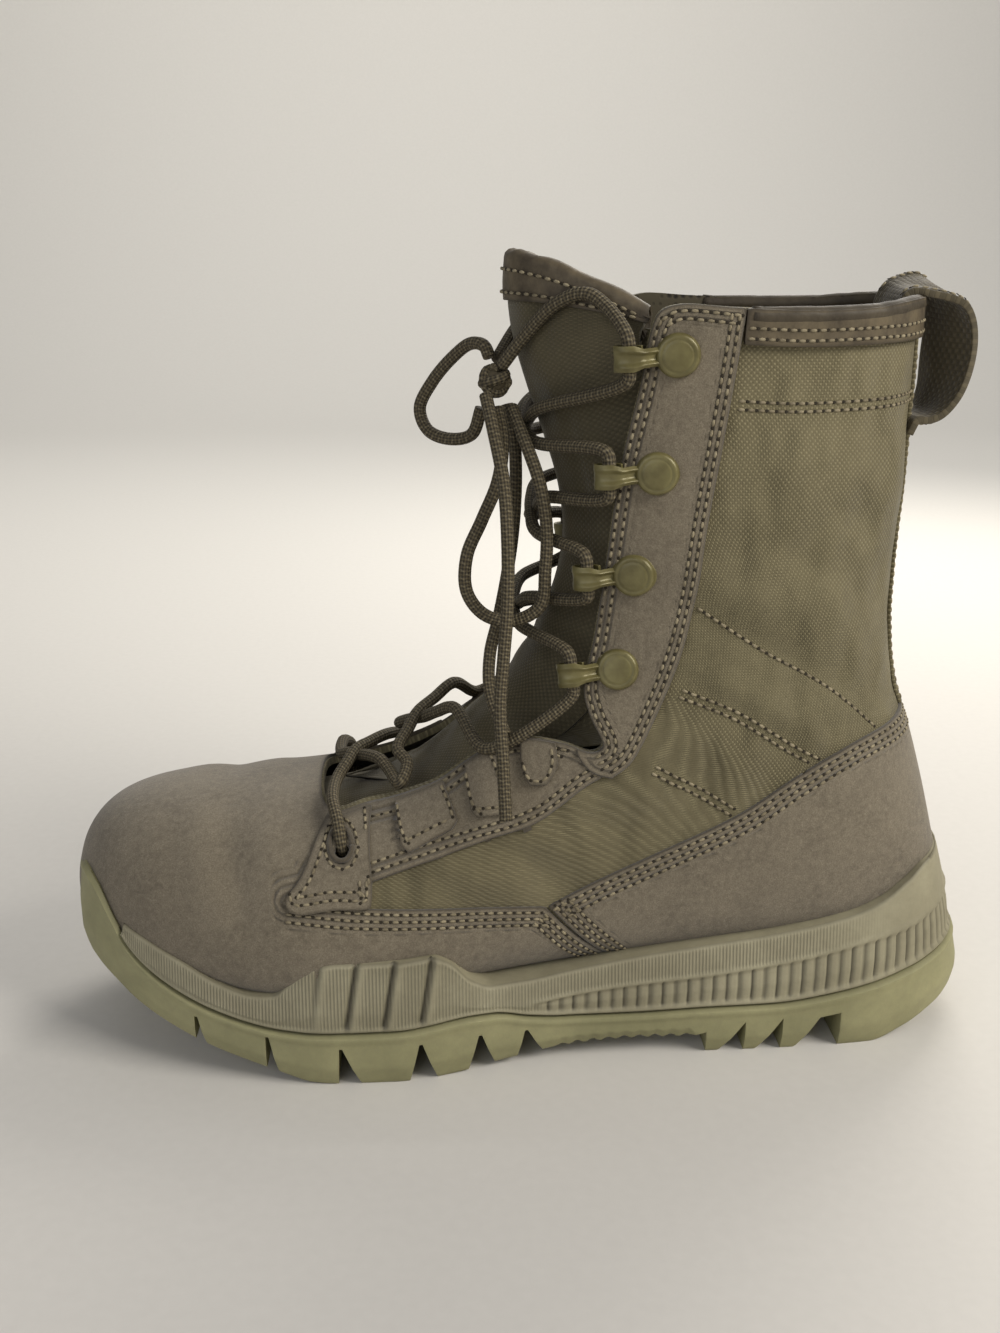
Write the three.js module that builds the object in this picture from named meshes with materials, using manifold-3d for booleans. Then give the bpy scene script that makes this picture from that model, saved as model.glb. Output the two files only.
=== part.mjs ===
// Left combat boot, eight inches high, standing empty on its sole.
// Millimetres, +Z up. The origin is the middle of the heel's flat tread, on the floor.
// The toe points to -X, the outer (lateral) side of the foot is -Y and the inner (medial) side is +Y.
import * as THREE from 'three';
import { mergeVertices } from 'three/addons/utils/BufferGeometryUtils.js';
import Module from 'manifold-3d';

const wasm = await Module();
wasm.setup();

// ---- driving dimensions -------------------------------------------------------------------
const soleLength = 308;
const ballWidth = 110;
const shaftHeight = 240;
const wall = 2.5;
const gap = 0.35;
const laceDiameter = 4;
const strapWidth = 24;
const strapThickness = 2.2;

// The tables below are drawn for the model size, and graded to the driving dimensions.
const modelSize = { length: 308, width: 110, height: 240 };
const gradeX = soleLength / modelSize.length;
const gradeY = ballWidth / modelSize.width;
const gradeZ = shaftHeight / modelSize.height;

// ---- tables and smooth interpolation ------------------------------------------------------
function table(columns, rows) {
  return rows.map((row) => Object.fromEntries(columns.map((name, i) => [name, row[i]])));
}

// A monotone cubic through (key, value) pairs, so it never overshoots the rows.
function smoothColumn(rows, key, value) {
  const x = rows.map((row) => row[key]);
  const y = rows.map((row) => row[value]);
  const last = x.length - 1;
  const slope = x.slice(1).map((next, i) => (y[i + 1] - y[i]) / (next - x[i]));
  const tangent = x.map((_, i) => {
    if (i === 0) return slope[0];
    if (i === last) return slope[last - 1];
    const before = slope[i - 1];
    const after = slope[i];
    return before * after <= 0 ? 0 : (2 * before * after) / (before + after);
  });
  return (at) => {
    if (at <= x[0]) return y[0];
    if (at >= x[last]) return y[last];
    let i = 0;
    while (at > x[i + 1]) i += 1;
    const step = x[i + 1] - x[i];
    const t = (at - x[i]) / step;
    const t2 = t * t;
    const t3 = t2 * t;
    return (2 * t3 - 3 * t2 + 1) * y[i] + (t3 - 2 * t2 + t) * step * tangent[i]
      + (3 * t2 - 2 * t3) * y[i + 1] + (t3 - t2) * step * tangent[i + 1];
  };
}

// ---- solids -------------------------------------------------------------------------------
function geometryFrom(points, triangles) {
  const geometry = new THREE.BufferGeometry();
  const flat = points.flatMap((p) => [p.x, p.y, p.z]);
  geometry.setAttribute('position', new THREE.BufferAttribute(new Float32Array(flat), 3));
  geometry.setIndex(triangles.flat());
  return geometry;
}

function solidFrom(geometry) {
  const bare = geometry.clone();
  bare.deleteAttribute('normal');
  bare.deleteAttribute('uv');
  const merged = mergeVertices(bare, 1e-4);
  const solid = new wasm.Manifold(new wasm.Mesh({
    numProp: 3,
    vertProperties: new Float32Array(merged.attributes.position.array),
    triVerts: new Uint32Array(merged.index.array),
  }));
  return solid;
}

function turnedOut(points, triangles) {
  let volume = 0;
  for (const [a, b, c] of triangles) {
    volume += points[a].dot(new THREE.Vector3().crossVectors(points[b], points[c]));
  }
  return volume > 0 ? triangles : triangles.map(([a, b, c]) => [a, c, b]);
}

// A closed solid through rings with the same number of points, capped flat at both ends.
function loft(rings) {
  const count = rings[0].length;
  const points = rings.flat();
  const triangles = [];
  for (let i = 0; i + 1 < rings.length; i += 1) {
    for (let j = 0; j < count; j += 1) {
      const a = i * count + j;
      const b = i * count + ((j + 1) % count);
      triangles.push([a, b, b + count], [a, b + count, a + count]);
    }
  }
  for (const [ring, turn] of [[0, true], [rings.length - 1, false]]) {
    const centre = new THREE.Vector3();
    rings[ring].forEach((p) => centre.add(p));
    points.push(centre.divideScalar(count));
    const hub = points.length - 1;
    for (let j = 0; j < count; j += 1) {
      const a = ring * count + j;
      const b = ring * count + ((j + 1) % count);
      triangles.push(turn ? [hub, b, a] : [hub, a, b]);
    }
  }
  return solidFrom(geometryFrom(points, turnedOut(points, triangles)));
}

// A side profile in X and Z, extruded across the boot from nearY to farY.
function sidePrism(profile, nearY, farY) {
  const shape = new THREE.Shape(profile.map(([x, z]) => new THREE.Vector2(x * gradeX, z * gradeZ)));
  const geometry = new THREE.ExtrudeGeometry(shape, { depth: farY - nearY, bevelEnabled: false });
  geometry.rotateX(Math.PI / 2);
  geometry.translate(0, farY, 0);
  return solidFrom(geometry);
}

function unite(solids) {
  return solids.reduce((whole, piece) => whole.add(piece));
}

// ---- the last: sections of the upper ------------------------------------------------------
// Each section lies in a plane through a front point and a back point. At the toe the planes
// stand upright, round the ankle they fan out, and up the shaft they lie level.
// lateral and medial are how far the section reaches to each side, ridge is where its crest
// lies, shoulder is where it is widest (-1 at the back point, 1 at the front point), and
// frontPower and backPower say how square each half is (2 is an ellipse).
const upperRows = table(
  ['frontX', 'frontZ', 'backX', 'backZ', 'lateral', 'medial', 'ridge', 'shoulder', 'frontPower', 'backPower'],
  [
    [-257.2, 55.0, -257.0, 39.0, 0, 16, 8.0, 0.00, 2.0, 2.0],
    [-254.0, 64.5, -253.2, 33.0, -8.5, 23, 7.5, -0.10, 2.1, 2.3],
    [-248.5, 72.0, -246.5, 30.0, -17.5, 31, 7.0, -0.20, 2.1, 2.6],
    [-240.5, 77.3, -238.0, 28.2, -26, 38, 6.5, -0.26, 2.15, 2.8],
    [-229.0, 80.6, -226.0, 26.6, -34.5, 44.5, 6.0, -0.32, 2.2, 3.0],
    [-214.0, 82.2, -211.0, 25.2, -41.8, 50, 5.5, -0.36, 2.2, 3.2],
    [-198.0, 83.2, -194.0, 24.2, -47.8, 52.3, 5.0, -0.38, 2.2, 3.4],
    [-183.0, 84.6, -178.0, 23.6, -51.3, 52, 4.5, -0.38, 2.2, 3.4],
    [-169.5, 86.6, -162.0, 23.4, -51.5, 49.5, 4.0, -0.36, 2.25, 3.4],
    [-156.0, 90.0, -146.0, 23.8, -49.5, 45.5, 3.5, -0.32, 2.3, 3.4],
    [-144.0, 95.5, -130.0, 24.8, -46.5, 41, 3.0, -0.26, 2.35, 3.4],
    [-133.5, 103.0, -113.0, 26.2, -43.5, 37, 2.0, -0.20, 2.4, 3.4],
    [-124.0, 112.0, -93.0, 27.8, -41.3, 35.0, 1.5, -0.15, 2.45, 3.4],
    [-116.5, 121.5, -70.0, 29.4, -40.3, 34.5, 1.0, -0.08, 2.55, 3.4],
    [-110.5, 131.0, -44.0, 30.8, -39.8, 35, 0.5, -0.02, 2.7, 3.4],
    [-106.5, 140.5, -16.0, 32.0, -39.5, 35.5, 0, 0.03, 2.75, 3.3],
    [-104.0, 148.5, 12.0, 33.0, -39, 36, 0, 0.04, 2.75, 2.9],
    [-102.8, 155.5, 29.5, 37.0, -38.5, 36.3, 0, 0.06, 2.7, 2.5],
    [-102.4, 162.5, 36.0, 50.0, -38, 36.5, 0, 0.07, 2.65, 2.3],
    [-102.5, 169.5, 32.5, 64.0, -37.7, 36.5, 0, 0.07, 2.6, 2.25],
    [-103.1, 176.5, 28.0, 81.0, -37.5, 36.6, 0, 0.07, 2.5, 2.2],
    [-103.9, 183.0, 23.0, 97.5, -37.4, 36.7, 0, 0.06, 2.45, 2.2],
    [-104.9, 189.5, 18.2, 112.0, -37.4, 36.8, 0, 0.05, 2.4, 2.2],
    [-106.0, 196.0, 14.0, 125.0, -37.4, 36.9, 0, 0.04, 2.35, 2.2],
    [-107.3, 202.5, 12.3, 141.0, -37.5, 37, 0, 0.03, 2.3, 2.2],
    [-108.9, 209.5, 12.0, 160.0, -37.7, 37.2, 0, 0.02, 2.2, 2.2],
    [-110.7, 217.5, 12.6, 182.0, -38, 37.5, 0, 0.00, 2.2, 2.2],
    [-112.6, 227.0, 13.3, 205.0, -38.4, 37.8, 0, 0.00, 2.2, 2.2],
    [-114.4, 239.0, 13.5, 228.0, -38.8, 38.2, 0, 0.00, 2.2, 2.2],
    [-115.6, 254.0, 13.5, 252.0, -39, 38.4, 0, 0.00, 2.2, 2.2],
  ],
);

const toePole = { x: -258.4, y: 8, z: 47 };

// Catmull-Rom between rows, so a section can be asked for at any place along the last.
function sectionAt(place) {
  const i = Math.min(Math.floor(place), upperRows.length - 2);
  const t = place - i;
  const row = (k) => upperRows[Math.max(0, Math.min(upperRows.length - 1, k))];
  const blend = {};
  for (const name of Object.keys(upperRows[0])) {
    const [a, b, c, d] = [row(i - 1)[name], row(i)[name], row(i + 1)[name], row(i + 2)[name]];
    blend[name] = 0.5 * (2 * b + (c - a) * t + (2 * a - 5 * b + 4 * c - d) * t * t
      + (3 * b - a - 3 * c + d) * t * t * t);
  }
  return blend;
}

// A point of the upper's outer face. turn goes once round the section: 0 at the front point,
// a quarter on the lateral side, a half at the back point, three quarters on the medial side.
function upperPoint(place, turn) {
  const s = sectionAt(place);
  const angle = turn * 2 * Math.PI;
  const alongWave = Math.cos(angle);
  const sideWave = Math.sin(angle);
  const power = alongWave >= 0 ? s.frontPower : s.backPower;
  const along = Math.sign(alongWave) * Math.abs(alongWave) ** (2 / power);
  const across = Math.abs(sideWave) ** (2 / power);
  const reach = along >= 0 ? s.shoulder + along * (1 - s.shoulder) : s.shoulder + along * (1 + s.shoulder);
  const share = (reach + 1) / 2;
  const side = sideWave >= 0 ? s.lateral - s.ridge : s.medial - s.ridge;
  return new THREE.Vector3(
    (s.backX + (s.frontX - s.backX) * share) * gradeX,
    (s.ridge + side * across) * gradeY,
    (s.backZ + (s.frontZ - s.backZ) * share) * gradeZ,
  );
}

function upperNormal(place, turn) {
  const small = 0.02;
  const last = upperRows.length - 1;
  const along = upperPoint(Math.min(place + small, last), turn).sub(upperPoint(Math.max(place - small, 0), turn));
  const round = upperPoint(place, turn + small).sub(upperPoint(place, turn - small));
  return along.cross(round).normalize().multiplyScalar(-1);
}

// The whole closed form, moved out by grow (in when it is negative). Every solid that meets the
// upper's outer face uses the same steps, so their faces stay parallel.
const outerSteps = [1, 34];
const innerSteps = [1.5, 24];
function upperForm(grow, [placeStep, turnSteps]) {
  const rings = [];
  const places = Math.ceil((upperRows.length - 1) / placeStep);
  const pole = new THREE.Vector3(toePole.x * gradeX - grow, toePole.y * gradeY, toePole.z * gradeZ);
  for (let i = 0; i <= places; i += 1) {
    const place = Math.min(i * placeStep, upperRows.length - 1);
    rings.push(Array.from({ length: turnSteps }, (_, j) => {
      const turn = j / turnSteps;
      return upperPoint(place, turn).addScaledVector(upperNormal(place, turn), grow);
    }));
  }
  const tip = rings[0].map((p) => p.clone().lerp(pole, 0.995));
  return loft([tip, ...rings]);
}

// ---- sole profiles ------------------------------------------------------------------------
const soleOutline = table(['x', 'lateral', 'medial'], [
  [-260.5, 5, 11], [-259.4, -3, 18], [-256, -12, 26], [-249, -21.5, 34], [-239, -30.5, 42],
  [-226, -39.2, 49.3], [-209, -46.8, 54], [-190, -51.8, 56], [-170, -54.6, 54.8], [-150, -54.4, 50.5],
  [-130, -50.5, 44.5], [-110, -45.8, 38.8], [-90, -42.8, 35.5], [-65, -41.4, 35], [-40, -41, 36.4],
  [-15, -40.2, 38], [6, -38.4, 37.6], [21, -34.6, 34.2], [32.5, -28, 28], [41, -19, 19],
  [45.8, -10, 10], [47.5, -3.5, 3.5],
]);
const soleHeights = table(['x', 'tread', 'parting', 'rim'], [
  [-260.5, 42, 57.5, 57.5], [-256, 34.5, 60, 59], [-249, 28.5, 57, 55], [-241, 23.7, 47, 48],
  [-236, 21.3, 39.5, 46], [-228, 18.3, 33, 44], [-217, 14.6, 27.5, 41], [-206, 11.5, 23.6, 35.2],
  [-192, 7.2, 20.8, 32], [-184, 4.2, 19.6, 32], [-179, 2.4, 19.1, 35], [-172.5, 0.6, 18.7, 41.6],
  [-166, 0, 18.6, 43.2], [-150, 0, 18.8, 43.2], [-134, 0, 19.6, 43.8], [-128.5, 1.4, 20.2, 41.4],
  [-121.5, 3.4, 20.8, 33.2], [-116, 4.8, 20.7, 30.2], [-107, 6, 18, 30.6], [-97, 6.5, 16.6, 32],
  [-72, 7.4, 16, 36], [-52, 6.4, 16.6, 38.6], [-46, 0, 16.8, 39.5], [-26, 0, 17.4, 42.6],
  [-3, 0, 20.6, 47.4], [8, 0, 23, 51.4], [20, 3.6, 26, 57.6], [30, 7.2, 28.2, 61.8],
  [41, 10.5, 30, 63], [47.5, 12.5, 30.8, 63.2],
]);
const lateralAt = smoothColumn(soleOutline, 'x', 'lateral');
const medialAt = smoothColumn(soleOutline, 'x', 'medial');
const treadAt = smoothColumn(soleHeights, 'x', 'tread');
const partingAt = smoothColumn(soleHeights, 'x', 'parting');
const rimAt = smoothColumn(soleHeights, 'x', 'rim');

// The heel leans in as it rises, and the widest part of the forefoot bulges at mid height.
const heelLean = 0.25;
function soleX(x, z) {
  const heel = Math.max(0, x) / 47.5;
  return x - heelLean * Math.max(0, z - 16) * heel ** 1.5;
}

function solePoint(x, side, inset, z) {
  const middle = (lateralAt(x) + medialAt(x)) / 2;
  const edge = side < 0 ? lateralAt(x) : medialAt(x);
  const half = Math.abs(edge - middle);
  const kept = Math.max(half - inset * Math.min(1, half / 25), half * 0.3);
  const endShift = inset * Math.max(0, 1 - half / 25) * Math.sign(-100 - x);
  return new THREE.Vector3(
    (soleX(x, z) + endShift) * gradeX,
    (middle + Math.sign(side) * kept) * gradeY,
    z * gradeZ,
  );
}

// One layer of the sole: levels go up from its floor to its top, each with its inset.
function soleLayer(stations, levels) {
  return loft(stations.map((x) => [
    ...levels.map((level) => solePoint(x, -1, level.inset(x), level.z(x))),
    ...levels.map((level) => solePoint(x, 1, level.inset(x), level.z(x))).reverse(),
  ]));
}

const soleStations = [...new Set([
  ...soleOutline.map((row) => row.x),
  ...soleHeights.map((row) => row.x),
])].sort((a, b) => a - b);

// ---- outsole ------------------------------------------------------------------------------
const treadInset = 2.6;
const notchReach = 24;
const lateralNotches = table(['x', 'top', 'front', 'back'], [
  [-213, 21.5, 0.5, 4.2], [-190.5, 17.6, 0.5, 4.6], [-167.3, 14, 1.0, 6.2], [-142, 14.2, 3.6, 5.2],
  [-123, 14.2, 3.6, 5.0], [-108, 13.6, 2.6, 6.0],
]);
const medialNotches = table(['x', 'top', 'front', 'back'], [
  [-216, 22.5, 0.5, 4.0], [-198, 18.6, 0.5, 4.2], [-180, 15.5, 0.8, 4.6], [-161, 14, 1.2, 5.4],
  [-141, 14.2, 2.8, 5.2], [-122, 14.2, 3.0, 5.0], [-106, 13.6, 2.6, 5.6],
]);

function notch(row, outward) {
  const floor = -3;
  const widen = (row.top - floor) / Math.max(4, row.top - treadAt(row.x));
  const profile = [
    [row.x - 0.5, row.top],
    [row.x + 0.5, row.top],
    [row.x + row.back * widen, floor],
    [row.x - row.front * widen, floor],
  ];
  const edge = outward < 0 ? lateralAt(row.x) : medialAt(row.x);
  const inner = edge - outward * notchReach;
  return sidePrism(profile, Math.min(inner, edge + outward * 6), Math.max(inner, edge + outward * 6));
}

// Saw teeth at the front of the heel: an upright face toward the toe, a slope toward the back.
const teeth = table(['x', 'back', 'top'], [
  [-47.5, -36.5, 11.5], [-36.5, -25.5, 12.5], [-25.5, -14.5, 12.5],
]);

function toothGap(row) {
  const tip = 3.2;
  return sidePrism([
    [row.x + tip, -1], [row.back + 0.01, row.top], [row.back + 0.01, -1],
  ], -70, 70);
}

function buildOutsole() {
  const stations = soleStations;
  const body = soleLayer(stations, [
    { inset: () => treadInset, z: treadAt },
    { inset: () => 0.6, z: (x) => treadAt(x) + 0.35 * (partingAt(x) - treadAt(x)) },
    { inset: () => 0, z: (x) => partingAt(x) - 1.6 },
    { inset: () => 0.9, z: partingAt },
  ]);
  const cuts = [
    ...lateralNotches.map((row) => notch(row, -1)),
    ...medialNotches.map((row) => notch(row, 1)),
    ...teeth.map(toothGap),
    sidePrism([[-14.6, -1], [-14.6, 12.5], [-5, 13], [-5, -1]], -70, 70),
  ];
  // Cross grooves between the middle lugs of the forefoot.
  for (const x of [-205, -183, -128, -112]) {
    cuts.push(sidePrism([
      [x - 2, -2], [x - 2, treadAt(x) + 4], [x + 2, treadAt(x) + 4], [x + 2, -2],
    ], lateralAt(x) + notchReach + 2, medialAt(x) - notchReach - 2));
  }
  return body.subtract(unite(cuts)).subtract(upperForm(gap, outerSteps));
}

// ---- midsole ------------------------------------------------------------------------------
function rimInset(x) {
  const outrigger = Math.max(0, 1 - ((x + 150) / 26) ** 4);
  return 1.7 - 0.7 * outrigger;
}

function buildMidsole() {
  const front = -238;
  const back = 47.5;
  const stations = [front, ...soleStations.filter((x) => x > front + 1.5 && x <= back)];
  const floor = (x) => partingAt(x) + gap * 1.4;
  const top = (x) => Math.max(rimAt(x), floor(x) + 1.2);
  const body = soleLayer(stations, [
    { inset: () => 1.1, z: floor },
    { inset: () => 0.1, z: (x) => floor(x) + 0.3 * (top(x) - floor(x)) },
    { inset: (x) => rimInset(x) * 0.6, z: (x) => floor(x) + 0.75 * (top(x) - floor(x)) },
    { inset: rimInset, z: top },
  ]);
  return body.subtract(upperForm(gap, outerSteps));
}

// ---- upper --------------------------------------------------------------------------------
// What the side profile cuts away: the throat from the vamp up the front of the shaft, and
// everything over the collar.
const collarZ = 240.5;
const throatProfile = [
  [-177, 94], [-173.5, 85.2], [-169, 83.2], [-159, 85.6], [-148, 88.8], [-136, 94], [-126, 101],
  [-117, 107], [-107, 110], [-96, 109], [-88, 106.6], [-84.6, 108.5], [-88.6, 118], [-90.5, 126],
  [-87.2, 142], [-84, 166], [-81, 193], [-76, 218], [-73.4, 234], [-71.2, 238.6], [-66, collarZ],
  [40, collarZ], [40, 275], [-177, 275],
];

function soleOpening() {
  const margin = 11;
  const stations = soleStations.filter((x) => x > -240 && x < 32);
  const inner = (x, side) => solePoint(x, side, margin, 0).y;
  const floorZ = (x) => rimFloorAt(x) + wall + 1.4;
  return loft(stations.map((x) => [
    new THREE.Vector3(x * gradeX, inner(x, -1), -5),
    new THREE.Vector3(x * gradeX, inner(x, 1), -5),
    new THREE.Vector3(x * gradeX, inner(x, 1), floorZ(x) * gradeZ),
    new THREE.Vector3(x * gradeX, inner(x, -1), floorZ(x) * gradeZ),
  ]));
}

const floorRows = upperRows.filter((row) => row.backX < 20).slice(2, 17);
const rimFloorAt = smoothColumn(floorRows, 'backX', 'backZ');

function buildUpper() {
  const outer = upperForm(0, outerSteps);
  const inner = upperForm(-wall, innerSteps);
  return outer.subtract(inner).subtract(sidePrism(throatProfile, -80, 80)).subtract(soleOpening());
}

// ---- insole -------------------------------------------------------------------------------
function buildInsole() {
  const thickness = 3.5;
  const room = upperForm(-wall - gap, innerSteps);
  const stations = soleStations.filter((x) => x > -246 && x < 34);
  const slab = loft(stations.map((x) => {
    const floor = (rimFloorAt(x) + wall + gap - 4) * gradeZ;
    const top = (rimFloorAt(x) + wall + gap + thickness) * gradeZ;
    const near = (lateralAt(x) - 4) * gradeY;
    const far = (medialAt(x) + 4) * gradeY;
    return [
      new THREE.Vector3(x * gradeX, near, floor), new THREE.Vector3(x * gradeX, far, floor),
      new THREE.Vector3(x * gradeX, far, top), new THREE.Vector3(x * gradeX, near, top),
    ];
  }));
  return room.intersect(slab);
}

// ---- tongue -------------------------------------------------------------------------------
// x and z follow the middle of its outer face, from under the vamp to the top. half is its half
// width, wrap how far its edges curve back round the shin, dip how far they drop.
const tongueRows = table(['x', 'z', 'half', 'wrap', 'dip', 'thick'], [
  [-186, 80.0, 19, 3.5, 0, 2.2], [-171, 82.0, 22, 5, 0, 2.6], [-157, 85.0, 24, 6.5, 0, 3.2],
  [-144, 91.0, 25.5, 9, 0, 4], [-132.5, 99.6, 26.5, 12, 0, 4.4], [-122.5, 109.8, 26.5, 15, 0, 4.4],
  [-113.2, 121.5, 26, 22, 0, 4.4], [-104.2, 136, 26.5, 25, 0, 4.4], [-97.4, 151, 27, 26, 0, 4.4],
  [-94.6, 167, 27.5, 26, 0, 4.4], [-96.2, 183, 28.5, 27, 0, 4.4], [-101, 199, 29.5, 30, 0, 4.4],
  [-106.6, 215, 30.5, 33, 1, 4.4], [-111, 230, 31, 36, 5, 4.4], [-112.6, 243, 31, 38, 9, 4.4],
  [-112.2, 253, 30.5, 38, 12, 3.6],
]);
const tongueSteps = 12;

function tonguePoint(index, side) {
  const row = tongueRows[index];
  const before = tongueRows[Math.max(0, index - 1)];
  const after = tongueRows[Math.min(tongueRows.length - 1, index + 1)];
  const run = new THREE.Vector2(after.x - before.x, after.z - before.z).normalize();
  const back = row.wrap * Math.abs(side) ** 2.1;
  return new THREE.Vector3(
    (row.x + run.y * back) * gradeX,
    row.half * side * gradeY,
    (row.z - run.x * back - row.dip * side * side) * gradeZ,
  );
}

function buildTongue() {
  const rings = tongueRows.map((row, i) => {
    const sides = Array.from({ length: tongueSteps + 1 }, (_, j) => (2 * j) / tongueSteps - 1);
    const face = sides.map((side) => tonguePoint(i, side));
    const below = sides.map((side) => {
      const next = tonguePoint(Math.min(i + 1, tongueRows.length - 1), side);
      const last = tonguePoint(Math.max(i - 1, 0), side);
      const across = tonguePoint(i, side + 0.05).sub(tonguePoint(i, side - 0.05));
      const inward = across.cross(next.sub(last)).normalize();
      const edge = 1 - 0.55 * Math.abs(side) ** 6;
      return tonguePoint(i, side).addScaledVector(inward, row.thick * edge);
    });
    return [...face, ...below.reverse()];
  });
  const shell = upperForm(0.4, outerSteps).subtract(upperForm(-wall - 0.4, innerSteps))
    .subtract(sidePrism(throatProfile.map(([x, z]) => [x + (z > 112 ? -0.5 : 0), z + (x < -84 ? 0.5 : 0)]), -80, 80));
  return loft(rings).subtract(shell);
}

// ---- pull loop ----------------------------------------------------------------------------
const pullLoopPath = [
  [14.1, 206.5], [17.2, 203.8], [21.4, 205.4], [26.2, 211], [29.4, 219], [30.6, 227.6],
  [29.4, 235], [26, 241], [20.6, 243.8], [14.4, 244], [8.6, 242.9],
];

function buildPullLoop() {
  const middle = new THREE.SplineCurve(pullLoopPath.map(([x, z]) => new THREE.Vector2(x, z)));
  const along = middle.getSpacedPoints(18);
  const offset = (i, amount) => {
    const before = along[Math.max(0, i - 1)];
    const after = along[Math.min(along.length - 1, i + 1)];
    const run = after.clone().sub(before).normalize();
    return [along[i].x + run.y * amount, along[i].y - run.x * amount];
  };
  const outside = along.map((_, i) => offset(i, strapThickness / 2));
  const inside = along.map((_, i) => offset(i, -strapThickness / 2)).reverse();
  const strap = sidePrism([...outside, ...inside], -strapWidth / 2, strapWidth / 2);
  return strap.subtract(upperForm(gap, outerSteps));
}

// ---- lace hooks ---------------------------------------------------------------------------
// x and z are the middle of each hook's cap on the lateral side; the medial side mirrors them.
const hookRows = table(['x', 'z', 'tilt'], [
  [-80.0, 132.2, -6], [-75.5, 161.8, -4], [-70.0, 192.6, -3], [-65.6, 226.5, -3],
]);
const capDiameter = 12.6;
const tunnelAhead = 11.6;

// The place on the upper whose side view is nearest to (x, z), found by halving steps.
function placeOnUpper(x, z, side) {
  let best = { place: 24, turn: side < 0 ? 0.2 : 0.8 };
  let placeStep = 4;
  let turnStep = 0.08;
  const miss = (spot) => {
    const p = upperPoint(spot.place, spot.turn);
    return Math.hypot(p.x - x * gradeX, p.z - z * gradeZ);
  };
  while (placeStep > 0.002) {
    const tries = [-1, 0, 1].flatMap((a) => [-1, 0, 1].map((b) => ({
      place: Math.max(0, Math.min(upperRows.length - 1.1, best.place + a * placeStep)),
      turn: best.turn + b * turnStep,
    })));
    const next = tries.reduce((found, spot) => (miss(spot) < miss(found) ? spot : found), best);
    if (next === best || miss(next) >= miss(best)) {
      placeStep /= 2;
      turnStep /= 2;
    }
    best = next;
  }
  return best;
}

// A frame on the upper: ahead runs toward the throat, out is off the leather, up is the third.
function hookFrame(row, side) {
  const spot = placeOnUpper(row.x, row.z, side);
  const centre = upperPoint(spot.place, spot.turn);
  const out = upperNormal(spot.place, spot.turn);
  const level = new THREE.Vector3(-Math.cos(THREE.MathUtils.degToRad(row.tilt)), 0,
    Math.sin(THREE.MathUtils.degToRad(row.tilt)));
  const ahead = level.addScaledVector(out, -level.dot(out)).normalize();
  const up = new THREE.Vector3().crossVectors(out, ahead).normalize();
  if (up.z < 0) up.negate();
  return { centre, out, ahead, up };
}

function placed(solid, frame) {
  const { ahead, out, up, centre } = frame;
  return solid.transform(new THREE.Matrix4().makeBasis(ahead, out, up).setPosition(centre).elements);
}

// In its own frame: x ahead, y out of the leather, z up. Base plate, cap and curled tunnel.
function hookSolid() {
  const base = 0.9;
  const cap = new THREE.CylinderGeometry(capDiameter / 2, capDiameter / 2 + 0.5, 2.6, 12);
  cap.translate(0, base + 1.3, 0);
  const plateShape = new THREE.Shape([
    new THREE.Vector2(0, base), new THREE.Vector2(tunnelAhead + 0.5, base + 1.6),
    new THREE.Vector2(tunnelAhead + 0.5, base + 2.9), new THREE.Vector2(0, base + 1.6),
  ]);
  const plate = new THREE.ExtrudeGeometry(plateShape, { depth: 8.4, bevelEnabled: false });
  plate.translate(0, 0, -4.2);
  // The tunnel is a flattened tube that the lace runs up through.
  const curl = new THREE.Shape();
  curl.absellipse(tunnelAhead + 2.2, base + 2.9, 5.6, 3.1, 0, 2 * Math.PI);
  const bore = new THREE.Path();
  bore.absellipse(tunnelAhead + 2.2, base + 2.9, 4.3, 1.85, 0, 2 * Math.PI);
  curl.holes.push(bore);
  const tunnel = new THREE.ExtrudeGeometry(curl, { depth: 7.4, bevelEnabled: false, curveSegments: 5 });
  tunnel.translate(0, 0, -3.7);
  const clear = new THREE.Shape();
  clear.absellipse(tunnelAhead + 2.2, base + 2.9, 4.3, 1.85, 0, 2 * Math.PI);
  const hollow = new THREE.ExtrudeGeometry(clear, { depth: 12, bevelEnabled: false, curveSegments: 5 });
  hollow.translate(0, 0, -6);
  return solidFrom(cap).add(solidFrom(plate)).subtract(solidFrom(hollow)).add(solidFrom(tunnel));
}

// ---- laces --------------------------------------------------------------------------------
function laceTube(points, diameter, spacing) {
  const curve = new THREE.CatmullRomCurve3(points.map(([x, y, z]) => (
    new THREE.Vector3(x * gradeX, y * gradeY, z * gradeZ))), false, 'centripetal');
  const round = new THREE.Shape();
  round.absarc(0, 0, diameter / 2, 0, 2 * Math.PI);
  const steps = Math.min(80, Math.max(4, Math.round(curve.getLength() / spacing)));
  const geometry = new THREE.ExtrudeGeometry(round, {
    extrudePath: curve, steps, curveSegments: 4, bevelEnabled: false,
  });
  return solidFrom(geometry);
}

// Where the two strands of each crossing leave the hooks and meet over the tongue: the height
// where one leaves low on one side, the other high, and the place where they cross.
const crossingRows = table(['lowX', 'lowZ', 'highX', 'highZ', 'meetX', 'meetZ', 'edgeY'], [
  [-169, 88, -153, 95, -162, 93.5, 13], [-149, 98, -128, 114, -141, 106.5, 15],
  [-106, 139, -102, 154, -109.5, 145, 23], [-102, 168, -98, 186, -104, 176, 24],
  [-99, 196, -97, 213, -107.2, 203.5, 24],
]);

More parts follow.
